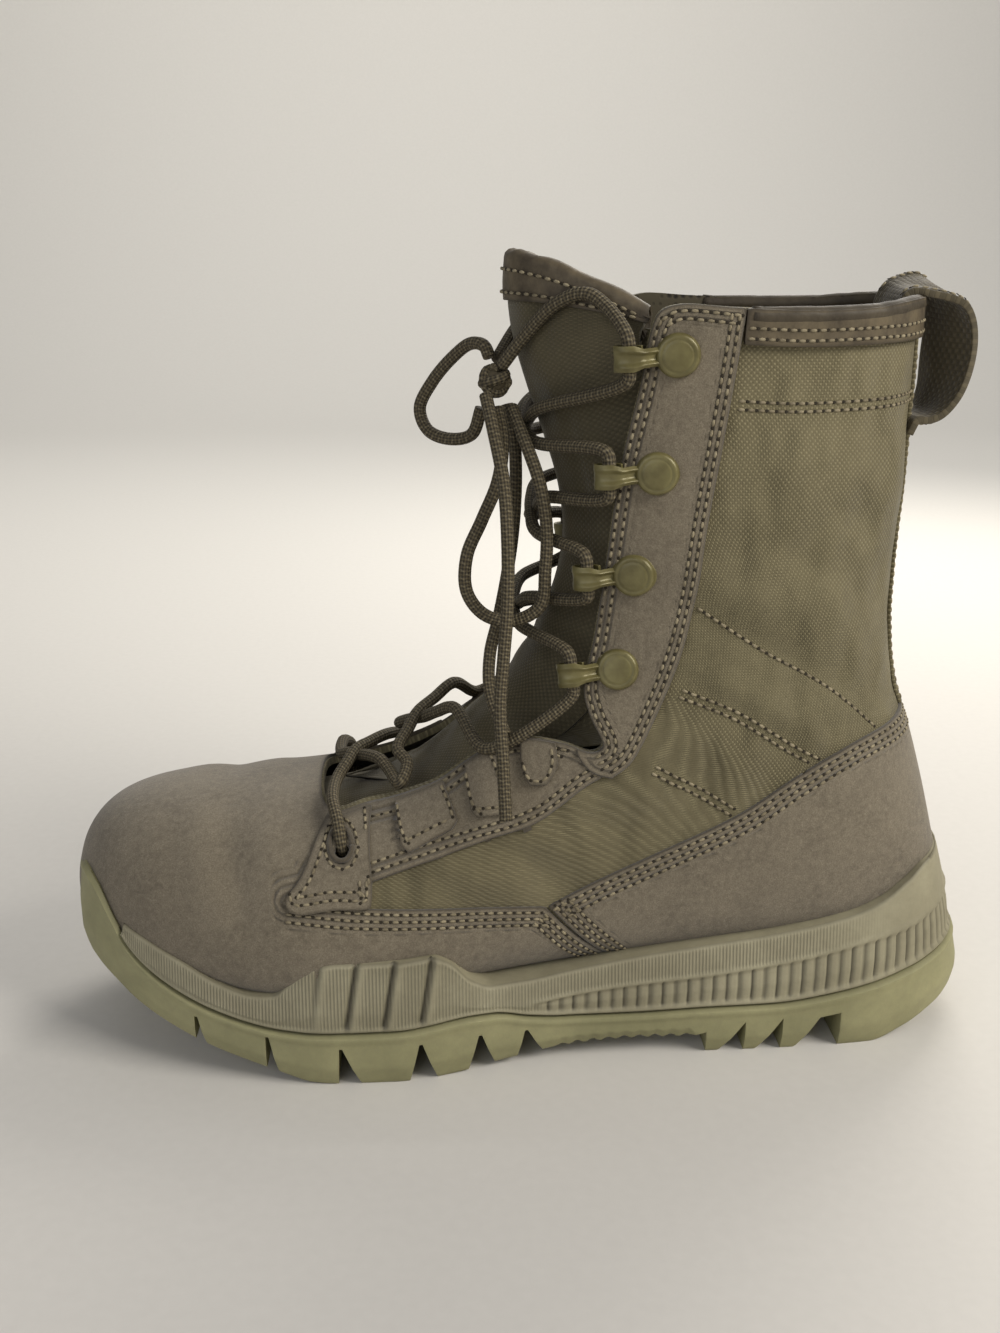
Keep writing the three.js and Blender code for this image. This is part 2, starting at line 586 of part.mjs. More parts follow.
function buildCrossing(row) {
  const strand = (near) => {
    const [nearX, nearZ, farX, farZ] = near < 0
      ? [row.lowX, row.lowZ, row.highX, row.highZ] : [row.highX, row.highZ, row.lowX, row.lowZ];
    const middleX = (nearX + farX) / 2;
    const middleZ = (nearZ + farZ) / 2;
    return laceTube([0, 0.2, 0.5, 0.8, 1].map((t) => {
      const pull = Math.sin(Math.PI * t) ** 0.8;
      return [
        nearX + (farX - nearX) * t + (row.meetX - middleX) * pull,
        (2 * t - 1) * row.edgeY,
        nearZ + (farZ - nearZ) * t + (row.meetZ - middleZ) * pull,
      ];
    }), laceDiameter, 12);
  };
  return strand(-1).add(strand(1));
}

// The bow, tied in front of the tongue: knot, two loops and two free ends.
const knotCentre = [-116.5, -8, 216.5];
const bowRoutes = {
  lace_loop_small: [
    [-118, -5, 223.5], [-119.5, -3, 226.6], [-123.5, 1, 227], [-129, 5, 222.6], [-135.6, 9, 214.5],
    [-139.6, 10, 206.3], [-137.1, 7, 199.7], [-130.2, 3, 197.4], [-123.4, 0, 199.2], [-120.4, -2, 207.5],
  ],
  lace_loop_long: [
    [-116, -13, 209], [-114.5, -17, 199.6], [-116, -19.5, 187.9], [-121, -21, 176], [-125.7, -23, 165.3],
    [-125.8, -24, 154.3], [-120.6, -25.5, 147.5], [-112, -27, 145.7], [-103.5, -28, 150.6],
    [-102, -27.5, 161.8], [-101.6, -26.5, 174], [-103.6, -25, 187.3], [-108, -19.5, 200], [-111.6, -12, 209],
  ],
  lace_end_near: [
    [-119.5, -15, 213], [-117.6, -21.5, 204], [-114.6, -26.5, 188], [-113.6, -31, 170], [-113.8, -33.5, 152],
    [-115, -35.5, 137], [-116.2, -38, 122], [-115.6, -43, 106], [-115, -49.5, 88.8],
  ],
  lace_end_far: [
    [-112.5, -4.5, 209], [-110.5, -7, 199.5], [-110, -9.5, 187.8], [-110.8, -11.5, 172.2],
    [-112.8, -13, 157.6], [-115.6, -15.5, 144.1], [-118.6, -20, 133], [-118.8, -26.5, 122.5],
    [-114.5, -34.5, 111.5],
  ],
};

function buildKnot() {
  const ball = new THREE.SphereGeometry(5, 12, 8);
  ball.scale(0.95, 1.1, 0.95);
  ball.translate(knotCentre[0] * gradeX, knotCentre[1] * gradeY, knotCentre[2] * gradeZ);
  return solidFrom(ball);
}

// ---- assembly -----------------------------------------------------------------------------
const finishes = {
  suede: { color: 0x6f6656, roughness: 0.95, metalness: 0 },
  nylon: { color: 0x6b6449, roughness: 0.85, metalness: 0 },
  rubber: { color: 0x8f8c62, roughness: 0.7, metalness: 0 },
  foam: { color: 0x87806a, roughness: 0.8, metalness: 0 },
  lining: { color: 0x4b4536, roughness: 0.95, metalness: 0 },
  paintedMetal: { color: 0x6b6540, roughness: 0.45, metalness: 0.4 },
  lace: { color: 0x5a5240, roughness: 0.9, metalness: 0 },
};

const boot = new THREE.Group();
function add(name, solid, finish) {
  const mesh = solid.getMesh();
  const geometry = new THREE.BufferGeometry();
  geometry.setAttribute('position', new THREE.BufferAttribute(new Float32Array(mesh.vertProperties), 3));
  geometry.setIndex([...mesh.triVerts]);
  geometry.computeVertexNormals();
  const piece = new THREE.Mesh(geometry, new THREE.MeshStandardMaterial(finishes[finish]));
  piece.name = name;
  boot.add(piece);
}

add('outsole', buildOutsole(), 'rubber');
add('midsole', buildMidsole(), 'foam');
add('upper', buildUpper(), 'suede');
add('insole', buildInsole(), 'lining');
add('tongue', buildTongue(), 'nylon');
add('pull_loop', buildPullLoop(), 'nylon');
hookRows.forEach((row, i) => {
  add(`lace_hook_lateral_${i + 1}`, placed(hookSolid(), hookFrame(row, -1)), 'paintedMetal');
  add(`lace_hook_medial_${i + 1}`, placed(hookSolid(), hookFrame(row, 1)), 'paintedMetal');
});
crossingRows.forEach((row, i) => add(`lace_crossing_${i + 1}`, buildCrossing(row), 'lace'));
add('lace_knot', buildKnot(), 'lace');
for (const [name, route] of Object.entries(bowRoutes)) {
  add(name, laceTube(route, laceDiameter, 10), 'lace');
}

export default boot;
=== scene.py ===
# %% [markdown]
# # A left combat boot
# The boot is made the way a shoe factory makes it. A last (the wooden foot) gives every section,
# flat panels of suede and nylon are laid on it and sewn, a midsole and a lugged outsole close it
# underneath, and speed hooks and a round lace close the front. Sizes here are millimetres,
# and one number turns them to metres at the very end of each piece.

# %% Load the fixed frame
import math
from functools import partial

import bmesh
import bpy
import numpy as np
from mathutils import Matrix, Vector
from mathutils.kdtree import KDTree


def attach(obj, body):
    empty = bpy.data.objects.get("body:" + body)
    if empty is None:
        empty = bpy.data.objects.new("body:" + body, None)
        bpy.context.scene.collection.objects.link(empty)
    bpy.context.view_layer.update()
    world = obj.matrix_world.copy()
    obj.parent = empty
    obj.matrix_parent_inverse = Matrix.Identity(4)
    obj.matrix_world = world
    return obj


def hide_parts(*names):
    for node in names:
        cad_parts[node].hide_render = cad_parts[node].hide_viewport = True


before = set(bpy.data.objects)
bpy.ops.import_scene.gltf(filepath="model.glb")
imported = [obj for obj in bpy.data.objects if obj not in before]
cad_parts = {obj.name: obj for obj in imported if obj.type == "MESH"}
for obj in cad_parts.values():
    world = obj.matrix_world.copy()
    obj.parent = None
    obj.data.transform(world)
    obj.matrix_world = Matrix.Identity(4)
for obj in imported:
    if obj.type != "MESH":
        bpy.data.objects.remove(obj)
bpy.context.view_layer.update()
MM = 0.001
LATERAL, MEDIAL = -1, 1
SIDE_NAMES = {LATERAL: "lateral", MEDIAL: "medial"}
print("nodes in the frame:", len(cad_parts))

# %% [markdown]
# ## Camera, floor and light
# The camera stands low and close at the outer side of the boot, so the near edge of the sole looks
# larger than the far one. A short focal length close up gives that, where a long lens would
# flatten it. The floor is one plain sheet that curves up far behind, lit by three soft panels.

# %% The camera
def placed(name, data):
    """A new object in the scene."""
    thing = bpy.data.objects.new(name, data)
    bpy.context.collection.objects.link(thing)
    return thing


CAMERA_PLACE = Vector((-135.3, -441.5, 259.0)) * MM
CAMERA_PITCH = math.radians(17.13)
CAMERA_AZIMUTH = math.radians(-2.7)

camera_data = bpy.data.cameras.new("camera")
camera_data.lens = 37.8
camera_data.sensor_width = 36.0
camera_data.clip_start = 0.01
camera = placed("camera", camera_data)
looking = Vector((
    -math.sin(CAMERA_AZIMUTH) * math.cos(CAMERA_PITCH),
    math.cos(CAMERA_AZIMUTH) * math.cos(CAMERA_PITCH),
    -math.sin(CAMERA_PITCH),
))
camera.location = CAMERA_PLACE
camera.rotation_euler = looking.to_track_quat("-Z", "Y").to_euler()
bpy.context.scene.camera = camera
bpy.context.scene.view_settings.view_transform = "Standard"
print("camera looks", tuple(round(part, 3) for part in looking))

# %% One function for nodes and one for colours
def linear(code):
    """An sRGB colour such as "7a7061" as linear red, green, blue and full alpha."""
    parts = [int(code[i:i + 2], 16) / 255 for i in (0, 2, 4)]
    return tuple(p / 12.92 if p <= 0.04045 else ((p + 0.055) / 1.055) ** 2.4 for p in parts) + (1.0,)


def node(tree, kind, inputs=None, out=0, **settings):
    """Adds a node and gives back one output. Inputs are sockets to link, numbers or hex colours."""
    made = tree.nodes.new("ShaderNode" + kind)
    for name, value in settings.items():
        setattr(made, name, value)
    for name, value in (inputs or {}).items():
        if isinstance(value, bpy.types.NodeSocket):
            tree.links.new(value, made.inputs[name])
        else:
            made.inputs[name].default_value = linear(value) if isinstance(value, str) else value
    return made.outputs[out] if len(made.outputs) else made


def new_material(name, finish, **shader):
    """A material. finish(add) gives back the sockets that vary; shader holds the plain values."""
    material = bpy.data.materials.new(name)
    material.use_nodes = True
    tree = material.node_tree
    tree.nodes.clear()
    varying = finish(partial(node, tree))
    plain = {key.replace("_", " "): value for key, value in shader.items()}
    surface = node(tree, "BsdfPrincipled", {**plain, **varying})
    node(tree, "OutputMaterial", {"Surface": surface})
    return material


# A noise of size millimetres has the scale 1000 / size, because Object coordinates are in metres.
PER_MM = 1 / MM


def tinted(add, under, over, value, low, high, ends=(0.0, 1.0)):
    """The colour under turns into over as value goes from low to high; ends are the two shares."""
    share = add("MapRange", {0: value, 1: low, 2: high, 3: ends[0], 4: ends[1]})
    return add("Mix", {0: share, 6: under, 7: over}, out=2, data_type="RGBA")


# %% [markdown]
# ## Procedural finishes
# Suede is brushed leather: its nap lies in patches, so it is mottled in soft clouds, and a raised
# fibre scatters light at grazing angles. Nylon cordura is a plain weave of thick yarns; its lower
# squares and the gaps between the yarns are darkened with painted shade. Both could be pictures,
# but a formula keeps its scale in millimetres at any distance. Every texture below starts from a
# real size.

# %% Suede: cowhide split, brushed to a nap and dyed sage
def suede_finish(add):
    """Nap in 17 mm clouds and 2 mm flecks over 0.45 mm fibres; a cut edge shows the dark core."""
    place = add("TexCoord", out="Object")
    clouds, flecks, fibres = [
        add("TexNoise", {"Vector": place, "Scale": PER_MM / size, "Detail": detail, "Roughness": rough})
        for size, detail, rough in ((17, 4.0, 0.62), (2.2, 4.0, 0.7), (0.45, 3.0, 0.75))]
    rim, sewn = [add("Attribute", out="Fac", attribute_name=name) for name in ("rim", "sewn")]
    colour = tinted(add, "675e4e", "817764", clouds, 0.3, 0.7)
    colour = tinted(add, colour, "8c826e", flecks, 0.36, 0.64, (0.0, 0.8))
    colour = tinted(add, colour, "534b3c", fibres, 0.34, 0.66, (0.0, 0.7))
    colour = tinted(add, colour, "3f382c", rim, 0.0, 0.9, (0.75, 0.0))
    # Each row of stitches pulls the leather down in a channel, darkened with painted shade; rows lie 2.1 mm
    # apart.
    first_row = add("Math", {0: rim, 1: 0.75}, operation="SUBTRACT")
    row = add("Math", {0: first_row, 1: 1.05}, operation="PINGPONG")
    channel = add("Math", {0: add("MapRange", {0: row, 1: 0.4, 2: 1.0}), 1: sewn}, operation="MULTIPLY")
    channel_shade = add("Math", {0: channel, 1: 0.5}, operation="MULTIPLY")
    colour = add("Mix", {0: channel_shade, 6: colour, 7: "3f382c"}, out=2, data_type="RGBA")
    relief = add("Bump", {"Height": channel, "Distance": 0.5 * MM, "Strength": 1.0}, invert=True)
    relief = add("Bump", {"Height": flecks, "Distance": 0.22 * MM, "Strength": 0.7, "Normal": relief})
    relief = add("Bump", {"Height": fibres, "Distance": 0.16 * MM, "Strength": 0.9, "Normal": relief})
    return {"Base Color": colour, "Normal": relief}


suede_leather = new_material("suede_brushed_sage", suede_finish, Roughness=0.94, Sheen_Weight=0.2,
                             Sheen_Roughness=0.6, Specular_IOR_Level=0.25)

# %% Nylon cordura: plain weave of textured yarn
def woven(dark, light, pitch, depth):
    """Yarns cross over and under. The pitch is about twice the real one, so that it shows."""
    def finish(add):
        place = add("TexCoord", out="Object")
        u, v = add("SeparateXYZ", {0: add("UVMap", uv_map="mm")}, out=slice(2))
        drift = add("TexNoise", {"Vector": place, "Scale": PER_MM / 6, "Detail": 2.0})
        yarns = []
        for along in (u, v):
            moved = add("Math", {0: drift, 1: 0.5, 2: along}, operation="MULTIPLY_ADD")
            turn = add("Math", {0: moved, 1: math.pi / pitch}, operation="MULTIPLY")
            yarns.append(add("Math", {0: turn}, operation="SINE"))
        over = add("Math", {0: yarns[0], 1: yarns[1]}, operation="MULTIPLY")
        crown = add("MapRange", {0: over, 1: -1.0, 2: 1.0})
        rounds = [add("Math", {0: yarn}, operation="ABSOLUTE") for yarn in yarns]
        gap = add("Math", {0: rounds[0], 1: rounds[1]}, operation="MINIMUM")
        streaks = add("TexNoise", {
            "Vector": place, "Scale": PER_MM / 2.4, "Detail": 5.0, "Roughness": 0.75})
        broad = add("TexNoise", {"Vector": place, "Scale": PER_MM / 22, "Detail": 2.0})
        # Squares where a yarn lies lower are darkened with painted shade.
        colour = tinted(add, dark, light, over, -1.0, 1.0)
        colour = tinted(add, colour, dark, streaks, 0.3, 0.7, (0.0, 0.45))
        colour = tinted(add, colour, light, broad, 0.35, 0.65, (0.0, 0.3))
        # Painted shade in the gaps between the yarns.
        colour = tinted(add, colour, "2c2819", gap, 0.0, 0.25, (0.36, 0.0))
        height = add("Math", {0: crown, 1: gap}, operation="ADD")
        slack = add("Mapping", {"Vector": place, "Rotation": (0.0, 0.9, 0.0), "Scale": (1.0, 0.8, 0.5)})
        folds = add("TexNoise", {"Vector": slack, "Scale": PER_MM / 15, "Detail": 1.0, "Roughness": 0.4})
        relief = add("Bump", {"Height": folds, "Distance": 10.0 * MM, "Strength": 0.9})
        relief = add("Bump", {"Height": height, "Distance": depth * MM, "Strength": 0.9, "Normal": relief})
        return {"Base Color": colour, "Normal": relief}
    return finish


cloth = {"Roughness": 0.78, "Sheen_Weight": 0.12, "Specular_IOR_Level": 0.3}
nylon_cordura = new_material("nylon_cordura_woven_olive", woven("4f4832", "8d8464", 0.86, 0.16), **cloth)
nylon_tongue = new_material("nylon_cordura_woven_tongue", woven("453f2d", "665e46", 0.82, 0.12), **cloth)
strap_webbing = new_material("nylon_webbing_woven_dark", woven("3b3527", "655c46", 1.5, 0.2), **cloth)

# %% Collar leather, lining and thread
def leather_finish(add):
    """Full-grain leather, dyed and waxed: a 1.1 mm pebble, with a soft gloss on the folds."""
    place = add("TexCoord", out="Object")
    pebble = add("TexVoronoi", {"Vector": place, "Scale": PER_MM / 1.1}, feature="SMOOTH_F1")
    wear = add("TexNoise", {"Vector": place, "Scale": PER_MM / 9, "Detail": 4.0, "Roughness": 0.6})
    folds = add("TexNoise", {"Vector": place, "Scale": PER_MM / 3.5, "Detail": 3.0})
    rim = add("Attribute", out="Fac", attribute_name="rim")
    colour = tinted(add, "443b2d", "655a45", wear, 0.35, 0.65)
    colour = tinted(add, colour, "2b251b", rim, 0.0, 1.0, (0.6, 0.0))
    gloss = add("MapRange", {0: wear, 1: 0.35, 2: 0.65, 3: 0.7, 4: 0.54})
    relief = add("Bump", {"Height": folds, "Distance": 0.3 * MM, "Strength": 0.8})
    relief = add("Bump", {"Height": pebble, "Distance": 0.1 * MM, "Strength": 0.6, "Normal": relief})
    return {"Base Color": colour, "Roughness": gloss, "Normal": relief}


def knitted(dark, light, pitch):
    """Spacer mesh: round holes a pitch apart in a soft knit, with painted shade in the holes."""
    def finish(add):
        place = add("TexCoord", out="Object")
        cells = add("TexVoronoi", {"Vector": place, "Scale": PER_MM / pitch, "Randomness": 0.25})
        hole = add("MapRange", {0: cells, 1: 0.15, 2: 0.42})
        # The holes are darkened with painted shade.
        colour = add("Mix", {0: hole, 6: dark, 7: light}, out=2, data_type="RGBA")
        return {"Base Color": colour, "Normal": add("Bump", {"Height": hole, "Distance": 0.3 * MM})}
    return finish


def thread_finish(add):
    """Bonded polyester thread, whose dye varies a little along each seam."""
    place = add("TexCoord", out="Object")
    dye = add("TexNoise", {"Vector": place, "Scale": PER_MM / 5, "Detail": 3.0})
    twist = add("TexNoise", {"Vector": place, "Scale": PER_MM / 0.5, "Detail": 2.0})
    colour = tinted(add, "70664f", "958a6f", dye, 0.35, 0.65)
    return {"Base Color": colour, "Normal": add("Bump", {"Height": twist, "Distance": 0.1 * MM})}


collar_leather = new_material("leather_waxed_olive_brown", leather_finish, Specular_IOR_Level=0.4)
lining_mesh, sock_knit = [
    new_material(name, knitted(dark, light, pitch), Roughness=0.95) for name, dark, light, pitch in (
        ("polyester_mesh_knitted_lining", "211d16", "4a4434", 2.6),
        ("polyester_knit_sock_cover", "38342a", "5c5645", 2.2))]
thread_tan = new_material("polyester_thread_bonded_tan", thread_finish, Roughness=0.7)
# The darkness of the needle holes is painted shade.
needle_hole_shade = new_material("needle_hole_painted_shade", lambda add: {}, Base_Color=linear("2e281d"),
                           Roughness=1.0)

# %% Rubber, painted steel and braid
def moulded(dark, light, rib_pitch=None):
    """Matt moulded rubber with a faint bloom and dust, and fine upright ribs where it is ribbed."""
    def finish(add):
        place = add("TexCoord", out="Object")
        bloom, dust, grain = [
            add("TexNoise", {"Vector": place, "Scale": PER_MM / size, "Detail": detail, "Roughness": rough})
            for size, detail, rough in ((26, 4.0, 0.6), (3, 5.0, 0.7), (0.8, 4.0, 0.6))]
        colour = tinted(add, dark, light, bloom, 0.35, 0.65)
        colour = tinted(add, colour, "6b6550", dust, 0.42, 0.75, (0.0, 0.22))
        relief = add("Bump", {"Height": grain, "Distance": 0.08 * MM, "Strength": 0.6})
        if rib_pitch:
            u = add("SeparateXYZ", {0: add("UVMap", uv_map="mm")}, out="X")
            turn = add("Math", {0: u, 1: 2 * math.pi / rib_pitch}, operation="MULTIPLY")
            ribbed = add("Attribute", out="Fac", attribute_name="ribbed")
            valley = add("MapRange", {0: add("Math", {0: turn}, operation="SINE"), 1: -1.0, 2: 1.0})
            valley = add("Math", {0: valley, 1: ribbed}, operation="MULTIPLY")
            relief = add("Bump", {"Height": valley, "Distance": 0.22 * MM, "Normal": relief}, invert=True)
            # Painted shade in the rib valleys.
            shade = add("Math", {0: valley, 1: 0.27}, operation="MULTIPLY")
            colour = add("Mix", {0: shade, 6: colour, 7: "4c4737"}, out=2, data_type="RGBA")
        # Painted shade in the slots, grooves and sunk lines of the sole's wall.
        hollow = add("Math", {0: add("Attribute", out="Fac", attribute_name="hollow"), 1: 0.8},
                     operation="MULTIPLY")
        colour = add("Mix", {0: hollow, 6: colour, 7: "39352a"}, out=2, data_type="RGBA")
        return {"Base Color": colour, "Normal": relief}
    return finish


def paint_finish(add):
    """Powder coat on steel: an even olive with a very fine orange peel."""
    place = add("TexCoord", out="Object")
    cloud = add("TexNoise", {"Vector": place, "Scale": PER_MM / 5, "Detail": 3.0})
    peel = add("TexNoise", {"Vector": place, "Scale": PER_MM / 0.7, "Detail": 2.0})
    colour = tinted(add, "5f5834", "736c44", cloud, 0.35, 0.65)
    return {"Base Color": colour, "Normal": add("Bump", {"Height": peel, "Distance": 0.04 * MM})}


def braid_finish(add):
    """Two sets of yarns wind opposite ways and cross as 1.1 mm diamonds; every other one is paler."""
    u, v = add("SeparateXYZ", {0: add("UVMap", uv_map="mm")}, out=slice(2))
    turn = add("Math", {0: u, 1: 12 / LACE}, operation="MULTIPLY")
    run = add("Math", {0: v, 1: math.pi / 1.15}, operation="MULTIPLY")
    one = add("Math", {0: add("Math", {0: turn, 1: run}, operation="ADD")}, operation="SINE")
    other = add("Math", {0: add("Math", {0: turn, 1: run}, operation="SUBTRACT")}, operation="SINE")
    cross = add("Math", {0: one, 1: other}, operation="MULTIPLY")
    diamond = add("MapRange", {0: cross, 1: -0.8, 2: 0.8})
    slow = add("Math", {0: turn, 1: 0.5, 2: run}, operation="MULTIPLY_ADD")
    tracer = add("MapRange", {0: add("Math", {0: slow}, operation="SINE"), 1: 0.45, 2: 0.9, 4: 0.6})
    # The grooves between the crossings are darkened with painted shade.
    colour = add("Mix", {0: diamond, 6: "2c261b", 7: "61573f"}, out=2, data_type="RGBA")
    paler = add("Math", {0: tracer, 1: diamond}, operation="MULTIPLY")
    colour = add("Mix", {0: paler, 6: colour, 7: "8a8066"}, out=2, data_type="RGBA")
    return {"Base Color": colour, "Normal": add("Bump", {"Height": diamond, "Distance": 0.35 * MM})}


LACE = 4.0
outsole_rubber = new_material("rubber_moulded_sage_green", moulded("86835f", "98946d"), Roughness=0.68)
midsole_rubber = new_material("rubber_moulded_taupe", moulded("878169", "9b957b", 1.1), Roughness=0.7)
painted_steel = new_material("steel_powder_coated_olive", paint_finish, Roughness=0.4, Metallic=0.2)
lace_braid = new_material("polyester_braided_lace", braid_finish, Roughness=0.8)
print("finishes made:", len(bpy.data.materials))

# %% [markdown]
# ## Tools of the trade
# Nearly everything on a boot is a sheet: suede, cloth, rubber wall, strap, even the skin of a lace.
# So one helper makes a bmesh grid and hands back how far across and along each vertex lies, and
# another lays the grid on a surface and stores the true millimetres as a UV map for the weave.

# %% A grid, and the finished piece
def new_grid(columns, rows):
    made = bmesh.new()
    bmesh.ops.create_grid(made, x_segments=int(columns), y_segments=int(rows), size=0.5)
    spots = np.array([vertex.co[:] for vertex in made.verts]) + 0.5
    return made, spots[:, 0], spots[:, 1]


def lay(made, points, uv=None, **numbers):
    """Moves the vertices to points in millimetres, and stores uv and named numbers on them."""
    layers = {name: made.verts.layers.float.new(name) for name in numbers}
    for vertex, point in zip(made.verts, (points * MM).tolist()):
        vertex.co = point
    for name, values in numbers.items():
        for vertex, value in zip(made.verts, np.broadcast_to(values, len(points)).tolist()):
            vertex[layers[name]] = value
    if uv is not None:
        made.verts.index_update()
        layer = made.loops.layers.uv.new("mm")
        uv = uv.tolist()
        for face in made.faces:
            for loop in face.loops:
                loop[layer].uv = uv[loop.vert.index]
    return made


def mesh_of(name, made):
    """The finished mesh of a bmesh."""
    mesh = bpy.data.meshes.new(name)
    made.to_mesh(mesh)
    made.free()
    return mesh


def round_edges(thing, width, degrees=50):
    """Rounds every edge that turns more than some degrees."""
    rounded = thing.modifiers.new("edge", "BEVEL")
    rounded.width = width * MM
    rounded.segments = 2
    rounded.limit_method = "ANGLE"
    rounded.angle_limit = math.radians(degrees)


def piece(name, made, materials, replaced=(), wall=None, edge=None, turn_out=True, weld=0.002):
    """The finished object, riding on the boot. wall and edge are millimetres of wall and round."""
    if weld:
        bmesh.ops.remove_doubles(made, verts=made.verts[:], dist=weld * MM)
    loose = [vertex for vertex in made.verts if not vertex.link_faces]
    bmesh.ops.delete(made, geom=loose, context="VERTS")
    if turn_out:
        bmesh.ops.recalc_face_normals(made, faces=made.faces[:])
    mesh = mesh_of(name, made)
    for material in materials if isinstance(materials, list) else [materials]:
        mesh.materials.append(material)
    mesh.shade_smooth()
    thing = placed(name, mesh)
    if wall:
        solid = thing.modifiers.new("wall", "SOLIDIFY")
        solid.thickness = wall * MM
        solid.offset = -1
        solid.use_even_offset = False
        if len(mesh.materials) > 1:
            solid.material_offset = 1
    if edge:
        round_edges(thing, edge)
    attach(thing, "root")
    if replaced:
        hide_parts(*replaced)
    print(f"{name}: {len(mesh.polygons)} faces")
    return thing


# %% Joining parts, and lines with even points
def joined(*parts):
    """One bmesh that holds all the parts."""
    whole = bmesh.new()
    for part in parts:
        mesh = mesh_of("part", part)
        whole.from_mesh(mesh)
        bpy.data.meshes.remove(mesh)
    return whole


def smooth_line(points, step=1.0):
    """A centripetal Catmull-Rom line through the points, with a vertex about every step."""
    points = np.array(points, float)
    padded = np.vstack([2 * points[0] - points[1], points, 2 * points[-1] - points[-2]])
    line = []
    for p0, p1, p2, p3 in zip(padded, padded[1:], padded[2:], padded[3:]):
        k1 = np.linalg.norm(p1 - p0) ** 0.5
        k2 = k1 + np.linalg.norm(p2 - p1) ** 0.5
        k3 = k2 + np.linalg.norm(p3 - p2) ** 0.5
        count = max(1, round(np.linalg.norm(p2 - p1) / step))
        t = np.linspace(k1, k2, count, endpoint=False)[:, None]
        a1 = (k1 - t) / k1 * p0 + t / k1 * p1
        a2 = (k2 - t) / (k2 - k1) * p1 + (t - k1) / (k2 - k1) * p2
        a3 = (k3 - t) / (k3 - k2) * p2 + (t - k2) / (k3 - k2) * p3
        b1 = (k2 - t) / k2 * a1 + t / k2 * a2
        b2 = (k3 - t) / (k3 - k1) * a2 + (t - k1) / (k3 - k1) * a3
        line.append((k2 - t) / (k2 - k1) * b1 + (t - k1) / (k2 - k1) * b2)
    return np.vstack([*line, points[-1:]])


def run_length(points):
    """The length from the first point to each point."""
    return np.concatenate([[0], np.cumsum(np.linalg.norm(np.diff(points, axis=0), axis=1))])


def evenly(points, count):
    """The line resampled to count points, evenly spaced along it."""
    reach = run_length(points)
    at = np.linspace(0, reach[-1], count)
    return np.column_stack([np.interp(at, reach, column) for column in points.T])


def unit(vectors):
    return vectors / np.maximum(np.linalg.norm(vectors, axis=-1, keepdims=True), 1e-9)


# %% [markdown]
# ## The free laces
# The bow hangs free, so it comes first: a knot, a small loop, a long loop and two loose ends. A
# curve with a round bevel would do, but a skinned tube carries the braid's own map, so its
# diamonds follow every bend. The tube's rings are carried along the route without twisting.

# %% A tube along a route
SIDES = 12


def tube(route, diameter, step=1.0):
    """A closed bmesh tube, with u and v in millimetres; also its ring centres and its length."""
    line = smooth_line(route, step)
    count = len(line)
    ahead = unit(np.gradient(line, axis=0))
    side = np.zeros_like(line)
    start = np.cross(ahead[0], [0.3, 1.0, 0.2])
    side[0] = start / np.linalg.norm(start)
    for i in range(1, count):
        carried = side[i - 1] - ahead[i] * np.dot(side[i - 1], ahead[i])
        side[i] = carried / np.linalg.norm(carried)
    other = np.cross(ahead, side)
    reach = run_length(line)
    made, across, along = new_grid(SIDES, count + 1)
    row = np.rint(along * (count + 1)).astype(int) - 1
    ring = np.clip(row, 0, count - 1)
    radius = np.where((row < 0) | (row >= count), 0.0, diameter / 2)[:, None]
    angle = across * 2 * math.pi
    outward = np.cos(angle)[:, None] * side[ring] + np.sin(angle)[:, None] * other[ring]
    points = line[ring] + radius * outward
    lay(made, points, np.column_stack([angle * diameter / 2, reach[ring]]))
    return made, line, reach[-1]


# %% The four free strands
BOW = {
    "lace_loop_small": [
        (-118, -5, 223.5), (-119.5, -3, 226.6), (-123.5, 1, 227), (-129, 5, 222.6),
        (-135.6, 9, 214.5), (-139.6, 10, 206.3), (-137.1, 7, 199.7), (-130.2, 3, 197.4),
        (-123.4, 0, 199.2), (-120.4, -2, 207.5),
    ],
    "lace_loop_long": [
        (-116, -13, 209), (-114.5, -17, 199.6), (-116, -19.5, 187.9), (-121, -21, 176),
        (-125.7, -23, 165.3), (-125.8, -24, 154.3), (-120.6, -25.5, 147.5), (-112, -27, 145.7),
        (-103.5, -28, 150.6), (-102, -27.5, 161.8), (-101.6, -26.5, 174), (-103.6, -25, 187.3),
        (-108, -19.5, 200), (-111.6, -12, 209),
    ],
    "lace_end_near": [
        (-119.5, -15, 213), (-117.6, -21.5, 204), (-114.6, -26.5, 188), (-113.6, -31, 170),
        (-113.8, -33.5, 152), (-115, -35.5, 137), (-116.2, -38, 122), (-115.6, -43, 106),
        (-115, -49.5, 88.8),
    ],
    "lace_end_far": [
        (-112.5, -4.5, 209), (-110.5, -7, 199.5), (-110, -9.5, 187.8), (-110.8, -11.5, 172.2),
        (-112.8, -13, 157.6), (-115.6, -15.5, 144.1), (-118.6, -20, 133), (-118.8, -26.5, 122.5),
        (-114.5, -34.5, 111.5),
    ],
}
KNOT = np.array([-116.5, -8.0, 216.5])

for name, route in BOW.items():
    made, line, length = tube(route, LACE)
    strand = piece(name, made, lace_braid, [name])
    print(f"{name}: {length:.0f} mm of lace")

# %% The knot: a core pulled tight inside one full wrap and a crossing strand
def ring_route(centre, one, other, radius, turns, rise):
    """Points round centre in the plane of two directions, climbing rise millimetres in all."""
    one, other = np.array(one, float), np.array(other, float)
    angles = np.linspace(0, 2 * math.pi * turns, 14)[:, None]
    climb = np.linspace(-rise / 2, rise / 2, 14)[:, None] * np.cross(one, other)
    return centre + radius * (np.cos(angles) * one + np.sin(angles) * other) + climb


